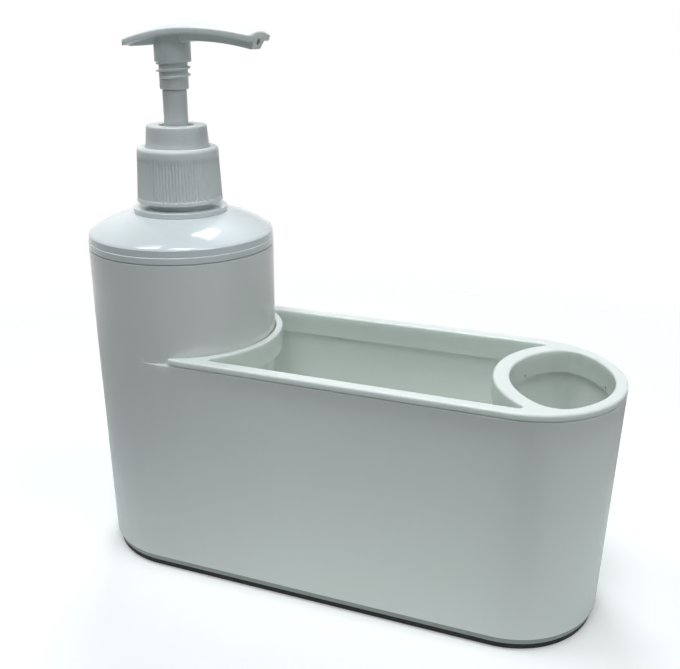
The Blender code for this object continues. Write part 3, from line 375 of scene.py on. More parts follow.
def rounded(corners, steps=ARC_STEPS, closed=True):
    """A path through corners (x, y) or (x, y, radius), with an arc for each radius."""
    points = []
    for i, (x, y, *radius) in enumerate(corners):
        if not radius or (not closed and i in (0, len(corners) - 1)):
            points.append((x, y))
            continue
        before, after = corners[i - 1], corners[(i + 1) % len(corners)]
        back_x, back_y, ahead_x, ahead_y = before[0] - x, before[1] - y, after[0] - x, after[1] - y
        back, ahead = hypot(back_x, back_y), hypot(ahead_x, ahead_y)
        cosine = (back_x * ahead_x + back_y * ahead_y) / (back * ahead)
        half = acos(min(max(cosine, -1.0), 1.0)) / 2
        reach = min(radius[0] / tan(half), back / 2, ahead / 2)
        in_x, in_y = back_x / back + ahead_x / ahead, back_y / back + ahead_y / ahead
        away = reach / cos(half) / hypot(in_x, in_y)
        centre = (x + in_x * away, y + in_y * away)
        start = (x + back_x * reach / back - centre[0], y + back_y * reach / back - centre[1])
        end = (x + ahead_x * reach / ahead - centre[0], y + ahead_y * reach / ahead - centre[1])
        first = atan2(start[1], start[0])
        sweep = (atan2(end[1], end[0]) - first + pi) % (2 * pi) - pi
        points += arc(centre, hypot(*start), first, first + sweep, steps)
    return points


def soften(section, radius, closed=True):
    """A section with its corners rounded, apart from those that hardly turn."""
    corners = []
    for i, (x, y) in enumerate(section):
        before, after = section[i - 1], section[(i + 1) % len(section)]
        back, ahead = atan2(y - before[1], x - before[0]), atan2(after[1] - y, after[0] - x)
        turn = abs((ahead - back + pi) % (2 * pi) - pi)
        corners.append((x, y) if turn < radians(SOFTEN_ANGLE) else (x, y, radius))
    return rounded(corners, EDGE_STEPS, closed)


def join_rings(bm, low, high):
    """Faces between two rings of as many points, or between a ring and a single point."""
    count = max(len(low), len(high))
    for i in range(count):
        j = (i + 1) % count
        if len(low) == 1:
            bm.faces.new((low[0], high[i], high[j]))
        elif len(high) == 1:
            bm.faces.new((high[0], low[i], low[j]))
        else:
            bm.faces.new((low[i], low[j], high[j], high[i]))


def skin(rings, closed=False):
    """A solid over rings of points: capped at its ends, or closed on itself."""
    bm = bmesh.new()
    loops = [[bm.verts.new(point) for point in ring] for ring in rings]
    for low, high in zip(loops, loops[1:]):
        join_rings(bm, low, high)
    if closed:
        join_rings(bm, loops[-1], loops[0])
    else:
        for loop in (loops[0], loops[-1]):
            if len(loop) > 2:
                bm.faces.new(loop)
    bmesh.ops.recalc_face_normals(bm, faces=bm.faces)
    return bm


def angles(steps, whole=pi / 2):
    """Even steps from 0 to the whole turn, both included."""
    return [whole * i / steps for i in range(steps + 1)]


def turned(section, count):
    """Rings of a section of (radius, height) points turned round the axis."""
    return [[(0, 0, z)] if r == 0 else circle(r, count, z) for r, z in section]


def lathe(section, count):
    """A solid turned from a section that is closed or ends on the axis."""
    return skin(turned(section, count), closed=section[0][0] != 0)


def steps(height, *path):
    """A section's square steps from a height on: radii, each with the height it goes to."""
    points = []
    for radius, target in zip(path[::2], path[1::2]):
        points += [(radius, height), (radius, target)]
        height = target
    return points


def stepped(inner, height, *path):
    """A section of square steps that starts and ends at its inner radius."""
    return [(inner, height)] + steps(height, *path) + [(inner, path[-1])]


def prism(outline, levels):
    """A solid over the rings of an outline function at levels of (height, inset)."""
    return skin([[(x, y, height) for x, y in outline(height, inset)] for height, inset in levels])


def top_edge_levels(top, radius):
    """Levels of a rounded top edge, from its start to the top face."""
    return [(top - radius + radius * sin(a), radius * (1 - cos(a))) for a in angles(ARC_STEPS)]


def base_edge_levels(base, radius):
    """Levels of a rounded bottom edge, from the bottom face up."""
    return [(base + radius * (1 - cos(a)), radius * (1 - sin(a))) for a in angles(FLOOR_STEPS)]


def box(size, centre, turn=0.0):
    """A box turned about the upright axis and then moved to its centre."""
    bm = bmesh.new()
    bmesh.ops.create_cube(bm, size=1)
    for vert in bm.verts:
        x, y, z = vert.co.x * size[0], vert.co.y * size[1], vert.co.z * size[2]
        vert.co = (centre[0] + x * cos(turn) - y * sin(turn),
                   centre[1] + x * sin(turn) + y * cos(turn), centre[2] + z)
    return bm


def add_object(name, data):
    thing = bpy.data.objects.new(name, data)
    bpy.context.scene.collection.objects.link(thing)
    return thing


def make(name, bm, place=(AXIS_X, 0, 0)):
    """An object of a shape, on the pump's axis unless a place is given."""
    mesh = bpy.data.meshes.new(name)
    bm.to_mesh(mesh)
    bm.free()
    thing = add_object(name, mesh)
    thing.location = place
    return thing


def settle(thing):
    evaluated = thing.evaluated_get(bpy.context.evaluated_depsgraph_get())
    old, thing.data = thing.data, bpy.data.meshes.new_from_object(evaluated)
    thing.modifiers.clear()
    bpy.data.meshes.remove(old)


def combine(thing, bm, operation):
    guide = make("guide", bm)
    boolean = thing.modifiers.new("boolean", "BOOLEAN")
    boolean.operation = operation
    boolean.object = guide
    boolean.solver = "EXACT"
    settle(thing)
    bpy.data.objects.remove(guide, do_unlink=True)


def join(thing, bm):
    combine(thing, bm, "UNION")


def cut(thing, bm):
    combine(thing, bm, "DIFFERENCE")


def thread_ridge(root, crest, width, pitch, turns, start, lead=0.0):
    """One screw ridge, sunk into its wall; its ends fade into that wall."""
    sections = []
    count = ceil(turns * THREAD_POINTS)
    deep = root - (SPARE if crest > root else -SPARE)
    flank, flat = width / 2, width * THREAD_CREST_SHARE
    for i in range(count + 1):
        turn = turns * i / count
        fade = min(turn, turns - turn, THREAD_FADE_SHARE) / THREAD_FADE_SHARE
        tip = root + (crest - root) * max(fade, THREAD_START_SHARE)
        angle, height = lead + 2 * pi * turn, start + pitch * turn
        section = ((deep, -flank), (tip, -flat), (tip, flat), (deep, flank))
        sections.append([(r * cos(angle), r * sin(angle), height + z) for r, z in section])
    return skin(sections)


def neck_ridge(root, depth, below=0):
    """The neck's screw ridge on a wall, so many turns lower than on the neck."""
    start = NECK_TOP - NECK_THREAD_DROP - (NECK_THREAD_TURNS + below) * NECK_THREAD_PITCH
    return thread_ridge(root, root + depth, NECK_THREAD_WIDTH, NECK_THREAD_PITCH,
                        NECK_THREAD_TURNS, start)


# Plan outlines, from the pump's axis

def stadium(height, inset):
    """The caddy's outline: two half circles and the flat walls between them."""
    radius, end = caddy_radius(height) - inset, caddy_end(height)
    steps = TOWER_SEGMENTS // 2
    return (arc((end, 0), radius, -pi / 2, pi / 2, steps)
            + arc((0, 0), radius, pi / 2, 3 * pi / 2, steps))


def pocket(half_width, tower, partition, corner):
    """A sponge opening: flat sides, and arcs round the tower and of the partition."""
    side, count = half_width - corner, TOWER_SEGMENTS // 4
    near = (sqrt((tower + corner) ** 2 - side ** 2), side)
    far = (PARTITION_CENTRE - sqrt((partition + corner) ** 2 - side ** 2), side)
    lean_near = atan2(near[1], near[0])
    lean_far = atan2(far[1], PARTITION_CENTRE - far[0])
    points = arc((0, 0), tower, lean_near, -lean_near, count)[1:-1]
    points += arc((near[0], -near[1]), corner, pi - lean_near, 3 * pi / 2, ARC_STEPS)
    points += arc((far[0], -far[1]), corner, -pi / 2, lean_far, ARC_STEPS)
    points += arc((PARTITION_CENTRE, 0), partition, pi + lean_far, pi - lean_far, count)[1:-1]
    points += arc(far, corner, -lean_far, pi / 2, ARC_STEPS)
    return points + arc(near, corner, pi / 2, pi + lean_near, ARC_STEPS)


def lens(end, end_radius, partition, corner):
    """A brush opening: arcs of the round end and the partition, and rounded corners."""
    spread, count = PARTITION_CENTRE - end, TOWER_SEGMENTS // 4
    outer, inner = end_radius - corner, partition - corner
    along = (outer ** 2 - inner ** 2 + spread ** 2) / (2 * spread)
    side = sqrt(outer ** 2 - along ** 2)
    lean_end = atan2(side, along)
    lean_partition = atan2(side, along - spread)
    back_end, back_partition = 2 * pi - lean_end, 2 * pi - lean_partition
    middle = end + along
    points = arc((end, 0), end_radius, -lean_end, lean_end, count)
    points += arc((middle, side), corner, lean_end, lean_partition, 2 * ARC_STEPS)[1:]
    points += arc((PARTITION_CENTRE, 0), partition, lean_partition, back_partition, count)[1:]
    return points + arc((middle, -side), corner, back_partition, back_end, 2 * ARC_STEPS)[1:-1]


def sponge_pocket(height, inset):
    return pocket(caddy_radius(height) - WALL - inset, tower_radius(height) + inset,
                  PARTITION_RADIUS + PARTITION_WALL / 2 + inset, SPONGE_POCKET_CORNER)


def brush_pocket(height, inset):
    return lens(caddy_end(height), caddy_radius(height) - WALL - inset,
                PARTITION_RADIUS - PARTITION_WALL / 2 - inset, BRUSH_POCKET_CORNER)


def sponge_opening(height, inset):
    """The rim's sponge opening; a negative inset makes it larger."""
    return pocket(HALF_WIDTH - RIM_SIDE_BAND - inset, RIM_INNER_RADIUS + RIM_TOWER_BAND + inset,
                  PARTITION_RADIUS + RIM_CROSS_BAND / 2 + inset, SPONGE_CORNER - inset)


def brush_opening(height, inset):
    return lens(CENTRE_DISTANCE, HALF_WIDTH - RIM_END_BAND - inset,
                PARTITION_RADIUS - RIM_CROSS_BAND / 2 - inset, BRUSH_CORNER - inset)


def rim_outline(height, inset):
    """The rim insert: the round end, the flat sides, blunt tips and the tower's arc."""
    radius, tower, tip = HALF_WIDTH - inset, RIM_INNER_RADIUS + inset, RIM_TIP_REACH + inset
    lean = acos(tip / tower)
    return (arc((CENTRE_DISTANCE, 0), radius, -pi / 2, pi / 2, TOWER_SEGMENTS // 2)
            + [(tip, radius)] + arc((0, 0), tower, lean, -lean, TOWER_SEGMENTS // 2)
            + [(tip, -radius)])


# Body pieces

def build_body_moulding():
    """The one moulding of the reservoir's tower, the caddy, the partition and the plinth."""
    levels = [(PLINTH_BASE, PLINTH_INSET + MOULD_EDGE), (PLINTH_BASE + MOULD_EDGE, PLINTH_INSET),
              (BODY_BASE, PLINTH_INSET)]
    levels += base_edge_levels(BODY_BASE, BODY_FOOT_EDGE) + top_edge_levels(WALL_TOP, BODY_LIP)
    body = make("body_moulding", prism(stadium, levels))
    tower = [(tower_radius(WALL_TOP - BODY_LIP) - SPARE, WALL_TOP - OVERRUN)]
    tower += [(tower_radius(z), z) for z in (WALL_TOP - BODY_LIP, RIM_TOP)]
    tower += [(TOWER_RADIUS - inset, z) for z, inset in top_edge_levels(LID_SEAM, BODY_LIP)]
    join(body, skin(turned(tower, TOWER_SEGMENTS)))
    top = LID_SEAM + OVERRUN
    floor = base_edge_levels(POCKET_FLOOR, POCKET_FLOOR_EDGE)
    tank = [(0, POCKET_FLOOR)] + [(tower_radius(z) - WALL - inset, z) for z, inset in floor]
    tank += [(HALF_WIDTH - WALL, RIM_TOP), (TANK_BORE, LID_SEAM), (TANK_BORE, top), (0, top)]
    cut(body, lathe(tank, TOWER_SEGMENTS))
    for outline in (sponge_pocket, brush_pocket):
        cut(body, prism(outline, floor + [(WALL_TOP + OVERRUN, 0)]))
    return body


def build_foot_pad():
    inset = PLINTH_INSET + PAD_INSET
    levels = base_edge_levels(0, PAD_EDGE) + top_edge_levels(PAD_THICKNESS, MOULD_EDGE)
    return make("foot_pad", prism(stadium, [(z, inset + more) for z, more in levels]))


def opening_levels():
    """Levels of a cutter for a rim opening, flared at the top edge."""
    flare = [(z, -inset) for z, inset in top_edge_levels(RIM_TOP, RIM_EDGE)]
    return [(RIM_SEAT - SKIRT_DEPTH - OVERRUN, 0)] + flare + [(RIM_TOP + OVERRUN, -RIM_EDGE)]


def build_rim_frame():
    """Frame over the caddy's mouth, with a skirt round each opening."""
    levels = [(RIM_SEAT, MOULD_EDGE), (RIM_SEAT + MOULD_EDGE, 0)]
    rim = make("rim_frame", prism(rim_outline, levels + top_edge_levels(RIM_TOP, RIM_EDGE)))
    skirt = [(RIM_SEAT - SKIRT_DEPTH, -SKIRT_WALL), (RIM_SEAT + RIM_PLATE / 2, -SKIRT_WALL)]
    for outline in (sponge_opening, brush_opening):
        join(rim, prism(outline, skirt))
    for outline in (sponge_opening, brush_opening):
        cut(rim, prism(outline, opening_levels()))
    for notch in skirt_notches():
        cut(rim, notch)
    return rim


def skirt_notches():
    """Notches in the lower edge of the brush opening's skirt, two on each side."""
    size = (SKIRT_WALL + OVERRUN, NOTCH_WIDTH, NOTCH_HEIGHT + OVERRUN)
    height = RIM_SEAT - SKIRT_DEPTH + (NOTCH_HEIGHT - OVERRUN) / 2
    arcs = ((CENTRE_DISTANCE, HALF_WIDTH - RIM_END_BAND, NOTCH_END_ANGLE),
            (PARTITION_CENTRE, PARTITION_RADIUS - RIM_CROSS_BAND / 2, NOTCH_PARTITION_ANGLE))
    notches = []
    for centre, radius, angle in arcs:
        middle = radius + SKIRT_WALL / 2
        for turn in (-radians(angle), radians(angle)):
            place = (centre + middle * cos(turn), middle * sin(turn), height)
            notches.append(box(size, place, turn))
    return notches


def dome(start, rim):
    """Arc of the lid's dome from the neck's flange out to the rim."""
    top = radians(DOME_TOP_SLOPE)
    low = 2 * atan2(start[1] - rim[1], rim[0] - start[0]) - top
    radius = (rim[0] - start[0]) / (sin(low) - sin(top))
    centre = (rim[0] - radius * sin(low), rim[1] - radius * cos(low))
    return arc(centre, radius, pi / 2 - top, pi / 2 - low, DOME_STEPS)


def build_domed_lid():
    """Dome with the neck, and a plug with a groove for the seal."""
    plug = TANK_BORE - GAP
    groove = plug - SEAL_THICKNESS - GAP
    seal_top = LID_BASE - SEAL_DROP + SEAL_THICKNESS / 2 + GAP
    seal_base = LID_BASE - SEAL_DROP - SEAL_THICKNESS / 2 - GAP
    band = TOWER_RADIUS - LID_LEDGE_STEP
    outer = dome((NECK_FLANGE_RADIUS - DOME_START_INSET, FLANGE_BASE),
                 (band - DOME_RIM_INSET, SHOULDER + DOME_RIM_RISE))
    crown = (NECK_FLANGE_RADIUS, outer[0][1] - LID_WALL)
    section = steps(crown[1], NECK_BORE, NECK_TOP, NECK_RADIUS, NECK_FLANGE_TOP,
                    NECK_FLANGE_RADIUS, FLANGE_BASE) + outer
    section += steps(SHOULDER, band, SHOULDER - LID_LEDGE, TOWER_RADIUS, LID_BASE, plug, seal_top,
                     groove, seal_base, plug, LID_BASE - PLUG_DEPTH, plug - PLUG_WALL,
                     SHOULDER - LID_WALL) + [crown]
    lid = make("domed_lid", lathe(soften(section, MOULD_EDGE), TOWER_SEGMENTS))
    join(lid, neck_ridge(NECK_RADIUS, NECK_THREAD_DEPTH))
    return lid


def build_seal_ring():
    radius = SEAL_THICKNESS / 2
    centre = (TANK_BORE - GAP - radius, LID_BASE - SEAL_DROP)
    section = arc(centre, radius, 0, 2 * pi, SEAL_SIDES)[:-1]
    return make("seal_ring", lathe(section, TOWER_SEGMENTS))


# Pump pieces that stay put

def build_screw_cap():
    """Ribbed collar: a plain ring, the ribs, a rounded shoulder and an open roof."""
    ring_top = CLOSURE_BASE + CLOSURE_RING
    rib_top = CLOSURE_TOP - CLOSURE_SHOULDER
    count = RIB_POINTS * RIB_COUNT

    def wall(height):
        share = (height - CLOSURE_BASE) / (CLOSURE_TOP - CLOSURE_BASE)
        return CLOSURE_BASE_RADIUS + (CLOSURE_TOP_RADIUS - CLOSURE_BASE_RADIUS) * share

    def ribbed(height, share):
        ring = []
        for turn in angles(count, 2 * pi)[:-1]:
            groove = RIB_GROOVE * (1 - cos(RIB_COUNT * turn)) / 2
            reach = wall(height) - share * (RIB_RECESS + groove)
            ring.append((reach * cos(turn), reach * sin(turn), height))
        return ring

    low = soften([(CLOSURE_BORE, ROOF_BASE), (CLOSURE_BORE, CLOSURE_BASE),
                  (wall(CLOSURE_BASE), CLOSURE_BASE), (wall(ring_top), ring_top)],
                 MOULD_EDGE, closed=False)
    high = rounded([(wall(rib_top), rib_top), (wall(CLOSURE_TOP), CLOSURE_TOP, CLOSURE_EDGE),
                    (CLOSURE_HOLE, CLOSURE_TOP, MOULD_EDGE), (CLOSURE_HOLE, ROOF_BASE)],
                   2 * ARC_STEPS, closed=False)
    rings = turned(low, count) + [ribbed(ring_top + RIB_RUN_IN, 1)]
    for i in range(RIB_FADE_STEPS):
        share = 1 - i / RIB_FADE_STEPS
        rings.append(ribbed(rib_top - RIB_RUN_OUT * share, share * share * (3 - 2 * share)))
    cap = make("screw_cap", skin(rings + turned(high, count), closed=True))
    join(cap, neck_ridge(CLOSURE_BORE, -NECK_THREAD_DEPTH, 1 / 2))
    return cap


def build_stem_collar():
    """Collar that plugs into the housing, guides the stem and takes the lock thread."""
    lock_base = COLLAR_TOP - LOCK_LENGTH
    post_base = lock_base - LOCK_DEPTH - LOCK_PITCH
    plug_radius = HOUSING_MOUTH_RADIUS - HOUSING_WALL - GAP
    post_bore = POST_RADIUS + LOCK_CLEARANCE
    section = [(GUIDE_BORE, COLLAR_BASE)]
    section += steps(COLLAR_BASE, GUIDE_BORE + GUIDE_WALL, COLLAR_BASE + COLLAR_RECESS,
                     plug_radius - PLUG_TUBE_WALL, COLLAR_BASE, plug_radius, COLLAR_FLANGE_BASE,
                     COLLAR_FLANGE_RADIUS, COLLAR_FLANGE_TOP, COLLAR_BASE_RADIUS, CLOSURE_TOP)
    section += arc((COLLAR_TOP_RADIUS - COLLAR_EDGE, COLLAR_TOP - COLLAR_EDGE), COLLAR_EDGE,
                   0, pi / 2, 2 * ARC_STEPS)
    section += [(LOCK_BORE, COLLAR_TOP), (LOCK_BORE, lock_base),
                (post_bore, lock_base - LOCK_DEPTH), (post_bore, post_base),
                (GUIDE_BORE, post_base - GUIDE_WALL)]
    collar = make("stem_collar", lathe(soften(section, INNER_EDGE), PUMP_SEGMENTS))
    join(collar, thread_ridge(LOCK_BORE, post_bore, LOCK_PITCH / 2, LOCK_PITCH, LOCK_TURNS,
                              lock_base + LOCK_PITCH / 2))
    return collar


def inner_turning(name, section):
    """A turned piece of the pump's inside, with its edges softened."""
    return make(name, lathe(soften(section, INNER_EDGE, closed=section[0][0] != 0), INNER_SEGMENTS))


def build_pump_barrel():
    """Pump chamber with its flange, the ball's seat and the dip tube's socket."""
    mouth, chamber = HOUSING_MOUTH_RADIUS, CHAMBER_BORE + HOUSING_WALL
    socket = SOCKET_BORE + SOCKET_WALL
    taper_base = MOUTH_BASE - HOUSING_TAPER
    section = steps(HOUSING_TOP, HOUSING_FLANGE_RADIUS, HOUSING_FLANGE_BASE, mouth, MOUTH_BASE)
    section += [(chamber, taper_base), (chamber, CHAMBER_BASE - HOUSING_WALL),
                (max(BALL_POCKET + HOUSING_WALL, socket), BALL_SEAT)]
    section += steps(SOCKET_TOP, socket, SOCKET_BASE, SOCKET_BORE, SOCKET_TOP,
                     BALL_SEAT_BORE, BALL_SEAT)
    section += steps(BALL_SEAT + BALL_POCKET - BALL_SEAT_BORE, BALL_POCKET, CHAMBER_BASE,
                     CHAMBER_BORE, taper_base)
    section += steps(MOUTH_BASE, mouth - HOUSING_WALL, HOUSING_TOP)
    return inner_turning("pump_barrel", section)


def build_flat_gasket():
    return inner_turning("flat_gasket", stepped(
        HOUSING_MOUTH_RADIUS + GAP, GASKET_TOP,
        HOUSING_FLANGE_RADIUS, GASKET_TOP - GASKET_THICKNESS))


def build_valve_ball():
    """Ball of the inlet valve, resting on the housing's seat."""
    section = [(BALL_RADIUS * sin(a), BALL_CENTRE + BALL_RADIUS * cos(a))
               for a in angles(BALL_RINGS, pi)[1:-1]]
    poles = [(0, BALL_CENTRE + BALL_RADIUS)], [(0, BALL_CENTRE - BALL_RADIUS)]
    return make("valve_ball", lathe(poles[0] + section + poles[1], 2 * BALL_RINGS))


def build_cage_disc():
    """Slotted disc that keeps the ball in its pocket and carries the spring."""
    outer = CHAMBER_BORE - GAP
    cage = inner_turning("cage_disc", stepped(0, CAGE_BASE, outer, CAGE_TOP))
    inner = outer - CAGE_RIM - SPRING_WIRE
    slot = (inner - CAGE_SLOT, inner * sqrt(2) - CAGE_SLOT, CAGE_THICKNESS + OVERRUN)
    for side in (-1, 1):
        place = (side * (CAGE_SLOT + slot[0]) / 2, 0, (CAGE_BASE + CAGE_TOP) / 2)
        cut(cage, box(slot, place))
    return cage


def build_suction_tube():
    """Tube from the socket to just over the reservoir's floor, cut at a slant."""
    foot = POCKET_FLOOR + DIP_TUBE_FOOT
    slope = DIP_TUBE_CUT / (2 * DIP_TUBE_RADIUS)
    inner = DIP_TUBE_RADIUS - DIP_TUBE_WALL

    def straight(radius):
        return circle(radius, INNER_SEGMENTS, SOCKET_TOP - GAP)

    def slanted(radius):
        return [(x, y, z + slope * (x + DIP_TUBE_RADIUS))
                for x, y, z in circle(radius, INNER_SEGMENTS, foot)]

    rings = [straight(DIP_TUBE_RADIUS), slanted(DIP_TUBE_RADIUS), slanted(inner), straight(inner)]
    return make("suction_tube", skin(rings, closed=True))


def build_coil_spring():
    """Wire coil from the cage to the plunger tip, with a closed turn at each end."""
    wire = SPRING_WIRE / 2
    low, high = CAGE_TOP + GAP + wire, TIP_FLANGE_BASE - GAP - wire
    dead = SPRING_DEAD_TURNS * SPRING_WIRE * SPRING_DEAD_PITCH
    count = SPRING_TURNS * SPRING_POINTS
    rings = []
    for i in range(count + 1):
        turn = SPRING_TURNS * i / count
        if turn < SPRING_DEAD_TURNS:
            height = low + dead * turn / SPRING_DEAD_TURNS
        elif turn > SPRING_TURNS - SPRING_DEAD_TURNS:
            height = high - dead * (SPRING_TURNS - turn) / SPRING_DEAD_TURNS
        else:
            share = (turn - SPRING_DEAD_TURNS) / (SPRING_TURNS - 2 * SPRING_DEAD_TURNS)
            height = low + dead + (high - low - 2 * dead) * share
        angle = 2 * pi * turn
        rings.append([(r * cos(angle), r * sin(angle), height + z)
                      for r, z in arc((SPRING_RADIUS, 0), wire, 0, 2 * pi, SPRING_SIDES)[:-1]])
    return make("coil_spring", skin(rings))


# Pump pieces that travel with the head

def build_piston_ring():
    """Piston ring with a sealing lip at each end."""
    lip, waist = CHAMBER_BORE - GAP, CHAMBER_BORE - GAP - PISTON_WAIST
    bore = STEM_TAIL_RADIUS + GAP
    low = [(bore, 0), (waist - PISTON_LIP, PISTON_LIP), (lip - PISTON_LIP / 2, 0), (lip, 0),
           (lip, PISTON_LIP), (waist, 2 * PISTON_LIP)]
    section = [(r, PISTON_BASE + z) for r, z in low]
    section += [(r, PISTON_TOP - z) for r, z in reversed(low)]
    return inner_turning("piston_ring", section)


def build_plunger_plug():
    """Tip in the stem's lower end: carries the piston and takes the spring's push."""
    spigot = STEM_BORE - GAP
    tip = inner_turning("plunger_plug", stepped(
        0, TIP_FLANGE_BASE - TIP_BOSS, TIP_BOSS_RADIUS, TIP_FLANGE_BASE,
        TIP_FLANGE_RADIUS, TIP_FLANGE_TOP, spigot, TIP_FLANGE_TOP + TIP_SPIGOT))
    flat = (spigot, 2 * STEM_BORE, TIP_SPIGOT + OVERRUN)
    height = TIP_FLANGE_TOP + (TIP_SPIGOT + OVERRUN) / 2
    for side in (-1, 1):
        cut(tip, box(flat, (side * (TIP_WEB + spigot) / 2, 0, height)))
    return tip


def build_hollow_stem():
    """Hollow stem: spigot in the head, shank, stop and the tail with its ports."""
    section = stepped(
        STEM_BORE, STEM_TOP + STEM_SPIGOT, STEM_SPIGOT_RADIUS, STEM_TOP, STEM_RADIUS, STOP_TOP,
        STEM_STOP_RADIUS, STOP_BASE, STEM_RADIUS, STEM_SHOULDER,
        STEM_TAIL_RADIUS, TIP_FLANGE_TOP + GAP)
    stem = make("hollow_stem", lathe(soften(section, INNER_EDGE), PUMP_SEGMENTS))
    reach = STEM_TAIL_RADIUS + OVERRUN
    middle = (PISTON_BASE + PISTON_TOP) / 2
    hole = arc((0, 0), STEM_PORT_RADIUS, 0, 2 * pi, PORT_SIDES)[:-1]
    cut(stem, skin([[(x, y, z + middle) for y, z in hole] for x in (-reach, reach)]))
    return stem


# Head

def head_share(x):
    """How far a station lies from the arch's apex towards the nose or the tail."""
    if x >= HEAD_APEX:
        return (x - HEAD_APEX) / (HEAD_REACH - HEAD_APEX)
    return (HEAD_APEX - x) / (HEAD_APEX + HEAD_TAIL)


def head_edge(x):
    drop = HEAD_NOSE_DROP if x >= HEAD_APEX else HEAD_TAIL_DROP
    return HEAD_EDGE_TOP - drop * head_share(x) ** 2


def keel_base(x):
    """Height of the keel's underside, curved towards the nose and straight behind."""
    share = head_share(x)
    if x >= HEAD_APEX:
        return KEEL_TOP - KEEL_NOSE_DROP * share ** 2
    return KEEL_TOP - KEEL_TAIL_DROP * share


def head_half_width(x):
    """Half width of the saddle in plan, with its rounded corners."""
    run = min(HEAD_REACH - x, x + HEAD_TAIL, HEAD_CORNER)
    return HEAD_HALF_WIDTH - HEAD_CORNER + sqrt(HEAD_CORNER ** 2 - (HEAD_CORNER - run) ** 2)


def head_section(x, inset=0.0):
    """A section across the head: crowned top, thin lip and the keel under it, with soft edges.
    The inset draws it in where the head's end is rounded."""
    half, edge = head_half_width(x) - inset, head_edge(x) - inset
    crown = HEAD_CROWN - HEAD_CROWN_LOSS * head_share(x) ** 2
    lip = head_edge(x) - HEAD_LIP + inset
    base = min(keel_base(x), lip - GAP) + inset
    root, keel = KEEL_ROOT_HALF_WIDTH - inset, KEEL_HALF_WIDTH - inset
    spans = [1 - 2 * i / CROWN_STEPS for i in range(CROWN_STEPS + 1)]
    top = [(half * s, edge + crown * (1 - s * s)) for s in spans]
    top = [(*top[0], HEAD_EDGE)] + top[1:-1] + [(*top[-1], HEAD_EDGE)]
    low = [(y, z, HEAD_EDGE) for y, z in ((-half, lip), (-root, lip), (-keel, base),
                                          (keel, base), (root, lip), (half, lip))]
    lean = NOSE_UNDERCUT * max(x / HEAD_REACH, 0) ** 2
    return [(x - lean * max(edge - z, 0) / (edge - base), y, z)
            for y, z in rounded(top + low, EDGE_STEPS)]


def build_press_head():
    """Arched head with the post, the lock thread, the skirt and the soap's channel."""
    ends = [(HEAD_EDGE * (1 - cos(a)), HEAD_EDGE * (1 - sin(a))) for a in angles(EDGE_STEPS)]
    ends += [(HEAD_CORNER * share, 0) for share in HEAD_CORNER_SHARES]
    inner = HEAD_REACH + HEAD_TAIL - 2 * HEAD_CORNER
    stations = [(-HEAD_TAIL + c, inset) for c, inset in ends]
    stations += [(-HEAD_TAIL + HEAD_CORNER + inner * i / HEAD_STATIONS, 0)
                 for i in range(HEAD_STATIONS + 1)]
    stations += [(HEAD_REACH - c, inset) for c, inset in reversed(ends)]
    head = make("press_head", skin([head_section(x, inset) for x, inset in stations]))
    top = HEAD_EDGE_TOP - HEAD_LIP / 2
    skirt = rounded([(0, POST_END), (POST_RADIUS, POST_END, MOULD_EDGE), (POST_RADIUS, SKIRT_BASE),
                     (SKIRT_RADIUS, SKIRT_BASE, SKIRT_EDGE), (SKIRT_RADIUS, top), (0, top)],
                    closed=False)
    join(head, lathe(skirt, PUMP_SEGMENTS))
    join(head, thread_ridge(POST_RADIUS, LOCK_CREST, LOCK_WIDTH, LOCK_PITCH, LOCK_TURNS,
                            LOCK_START + LOCK_WIDTH / 2, radians(LOCK_START_ANGLE)))
    well = stepped(0, POST_END - OVERRUN, STEM_SPIGOT_RADIUS + GAP, STEM_TOP + STEM_SPIGOT + GAP,
                   STEM_BORE, channel_height(0) + CHANNEL_RADIUS / 2)
    cut(head, lathe(well, INNER_SEGMENTS))
    cut(head, build_channel())
    return head


def channel_height(x):
    return keel_base(x) + CHANNEL_HEIGHT


def build_channel():
    sections = []
    for i in range(CHANNEL_STEPS + 1):
        x = (HEAD_REACH + OVERRUN) * i / CHANNEL_STEPS
        centre = (0, channel_height(min(x, HEAD_REACH)))
        ring = arc(centre, CHANNEL_RADIUS, 0, 2 * pi, CHANNEL_SIDES)[:-1]
        sections.append([(x, y, z) for y, z in ring])
    return skin(sections)


# Materials. A pattern is a noise, as features per metre, detail, distortion and stretch, and its
# spread, as the low and high level and, where they aren't 0 and 1, the values given back there.

DRIFT = (14, 2, 0.4, (1, 1, 0.5)), (0.30, 0.75)
FLOW = (170, 3, 0.6, (1, 1, 0.3)), (0.30, 0.80, 0.0, 0.30)
SMUDGES = (30, 3, 0.3), (0.30, 0.80, 0.0, 0.06)
WATER_MARKS = (420, 3, 0.4), (0.58, 0.74, 0.0, 0.03)
MOULD_WAVE, ORANGE_PEEL = (38, 1), (1900, 2)
RUBBER_DUST, RUBBER_WEAR, LEATHER = ((90, 5, 0.8), (0.45, 0.70)), (300, 4), (1400, 4)
WIRE_LINES, WIRE_GLOSS = (5000, 3, 0.0, (0.05, 0.05, 1)), (0.3, 0.7, 0.18, 0.38)
DULL_PATCHES = (400, 4), (0.45, 0.65)
GLASS_HAZE = (700, 4), (0.5, 0.75)
GLASS_SCRATCHES = (2500, 3, 0.0, (1, 1, 0.1)), (0.4, 0.7, 0.02, 0.12)
GLASS_WAVE, POLISHED_BUMP = (900, 2), 0.000004
RAISED_EDGE = (0.52, 0.60)
# Painted shade in the recess under the body's edge: the height over which it fades in, and how much
# of it there is
RECESS_SHADE_FADE, RECESS_SHADE_SHARE = 0.0003, 0.9
WORN_SHARE, WORN_POLISH = 0.4, 0.06
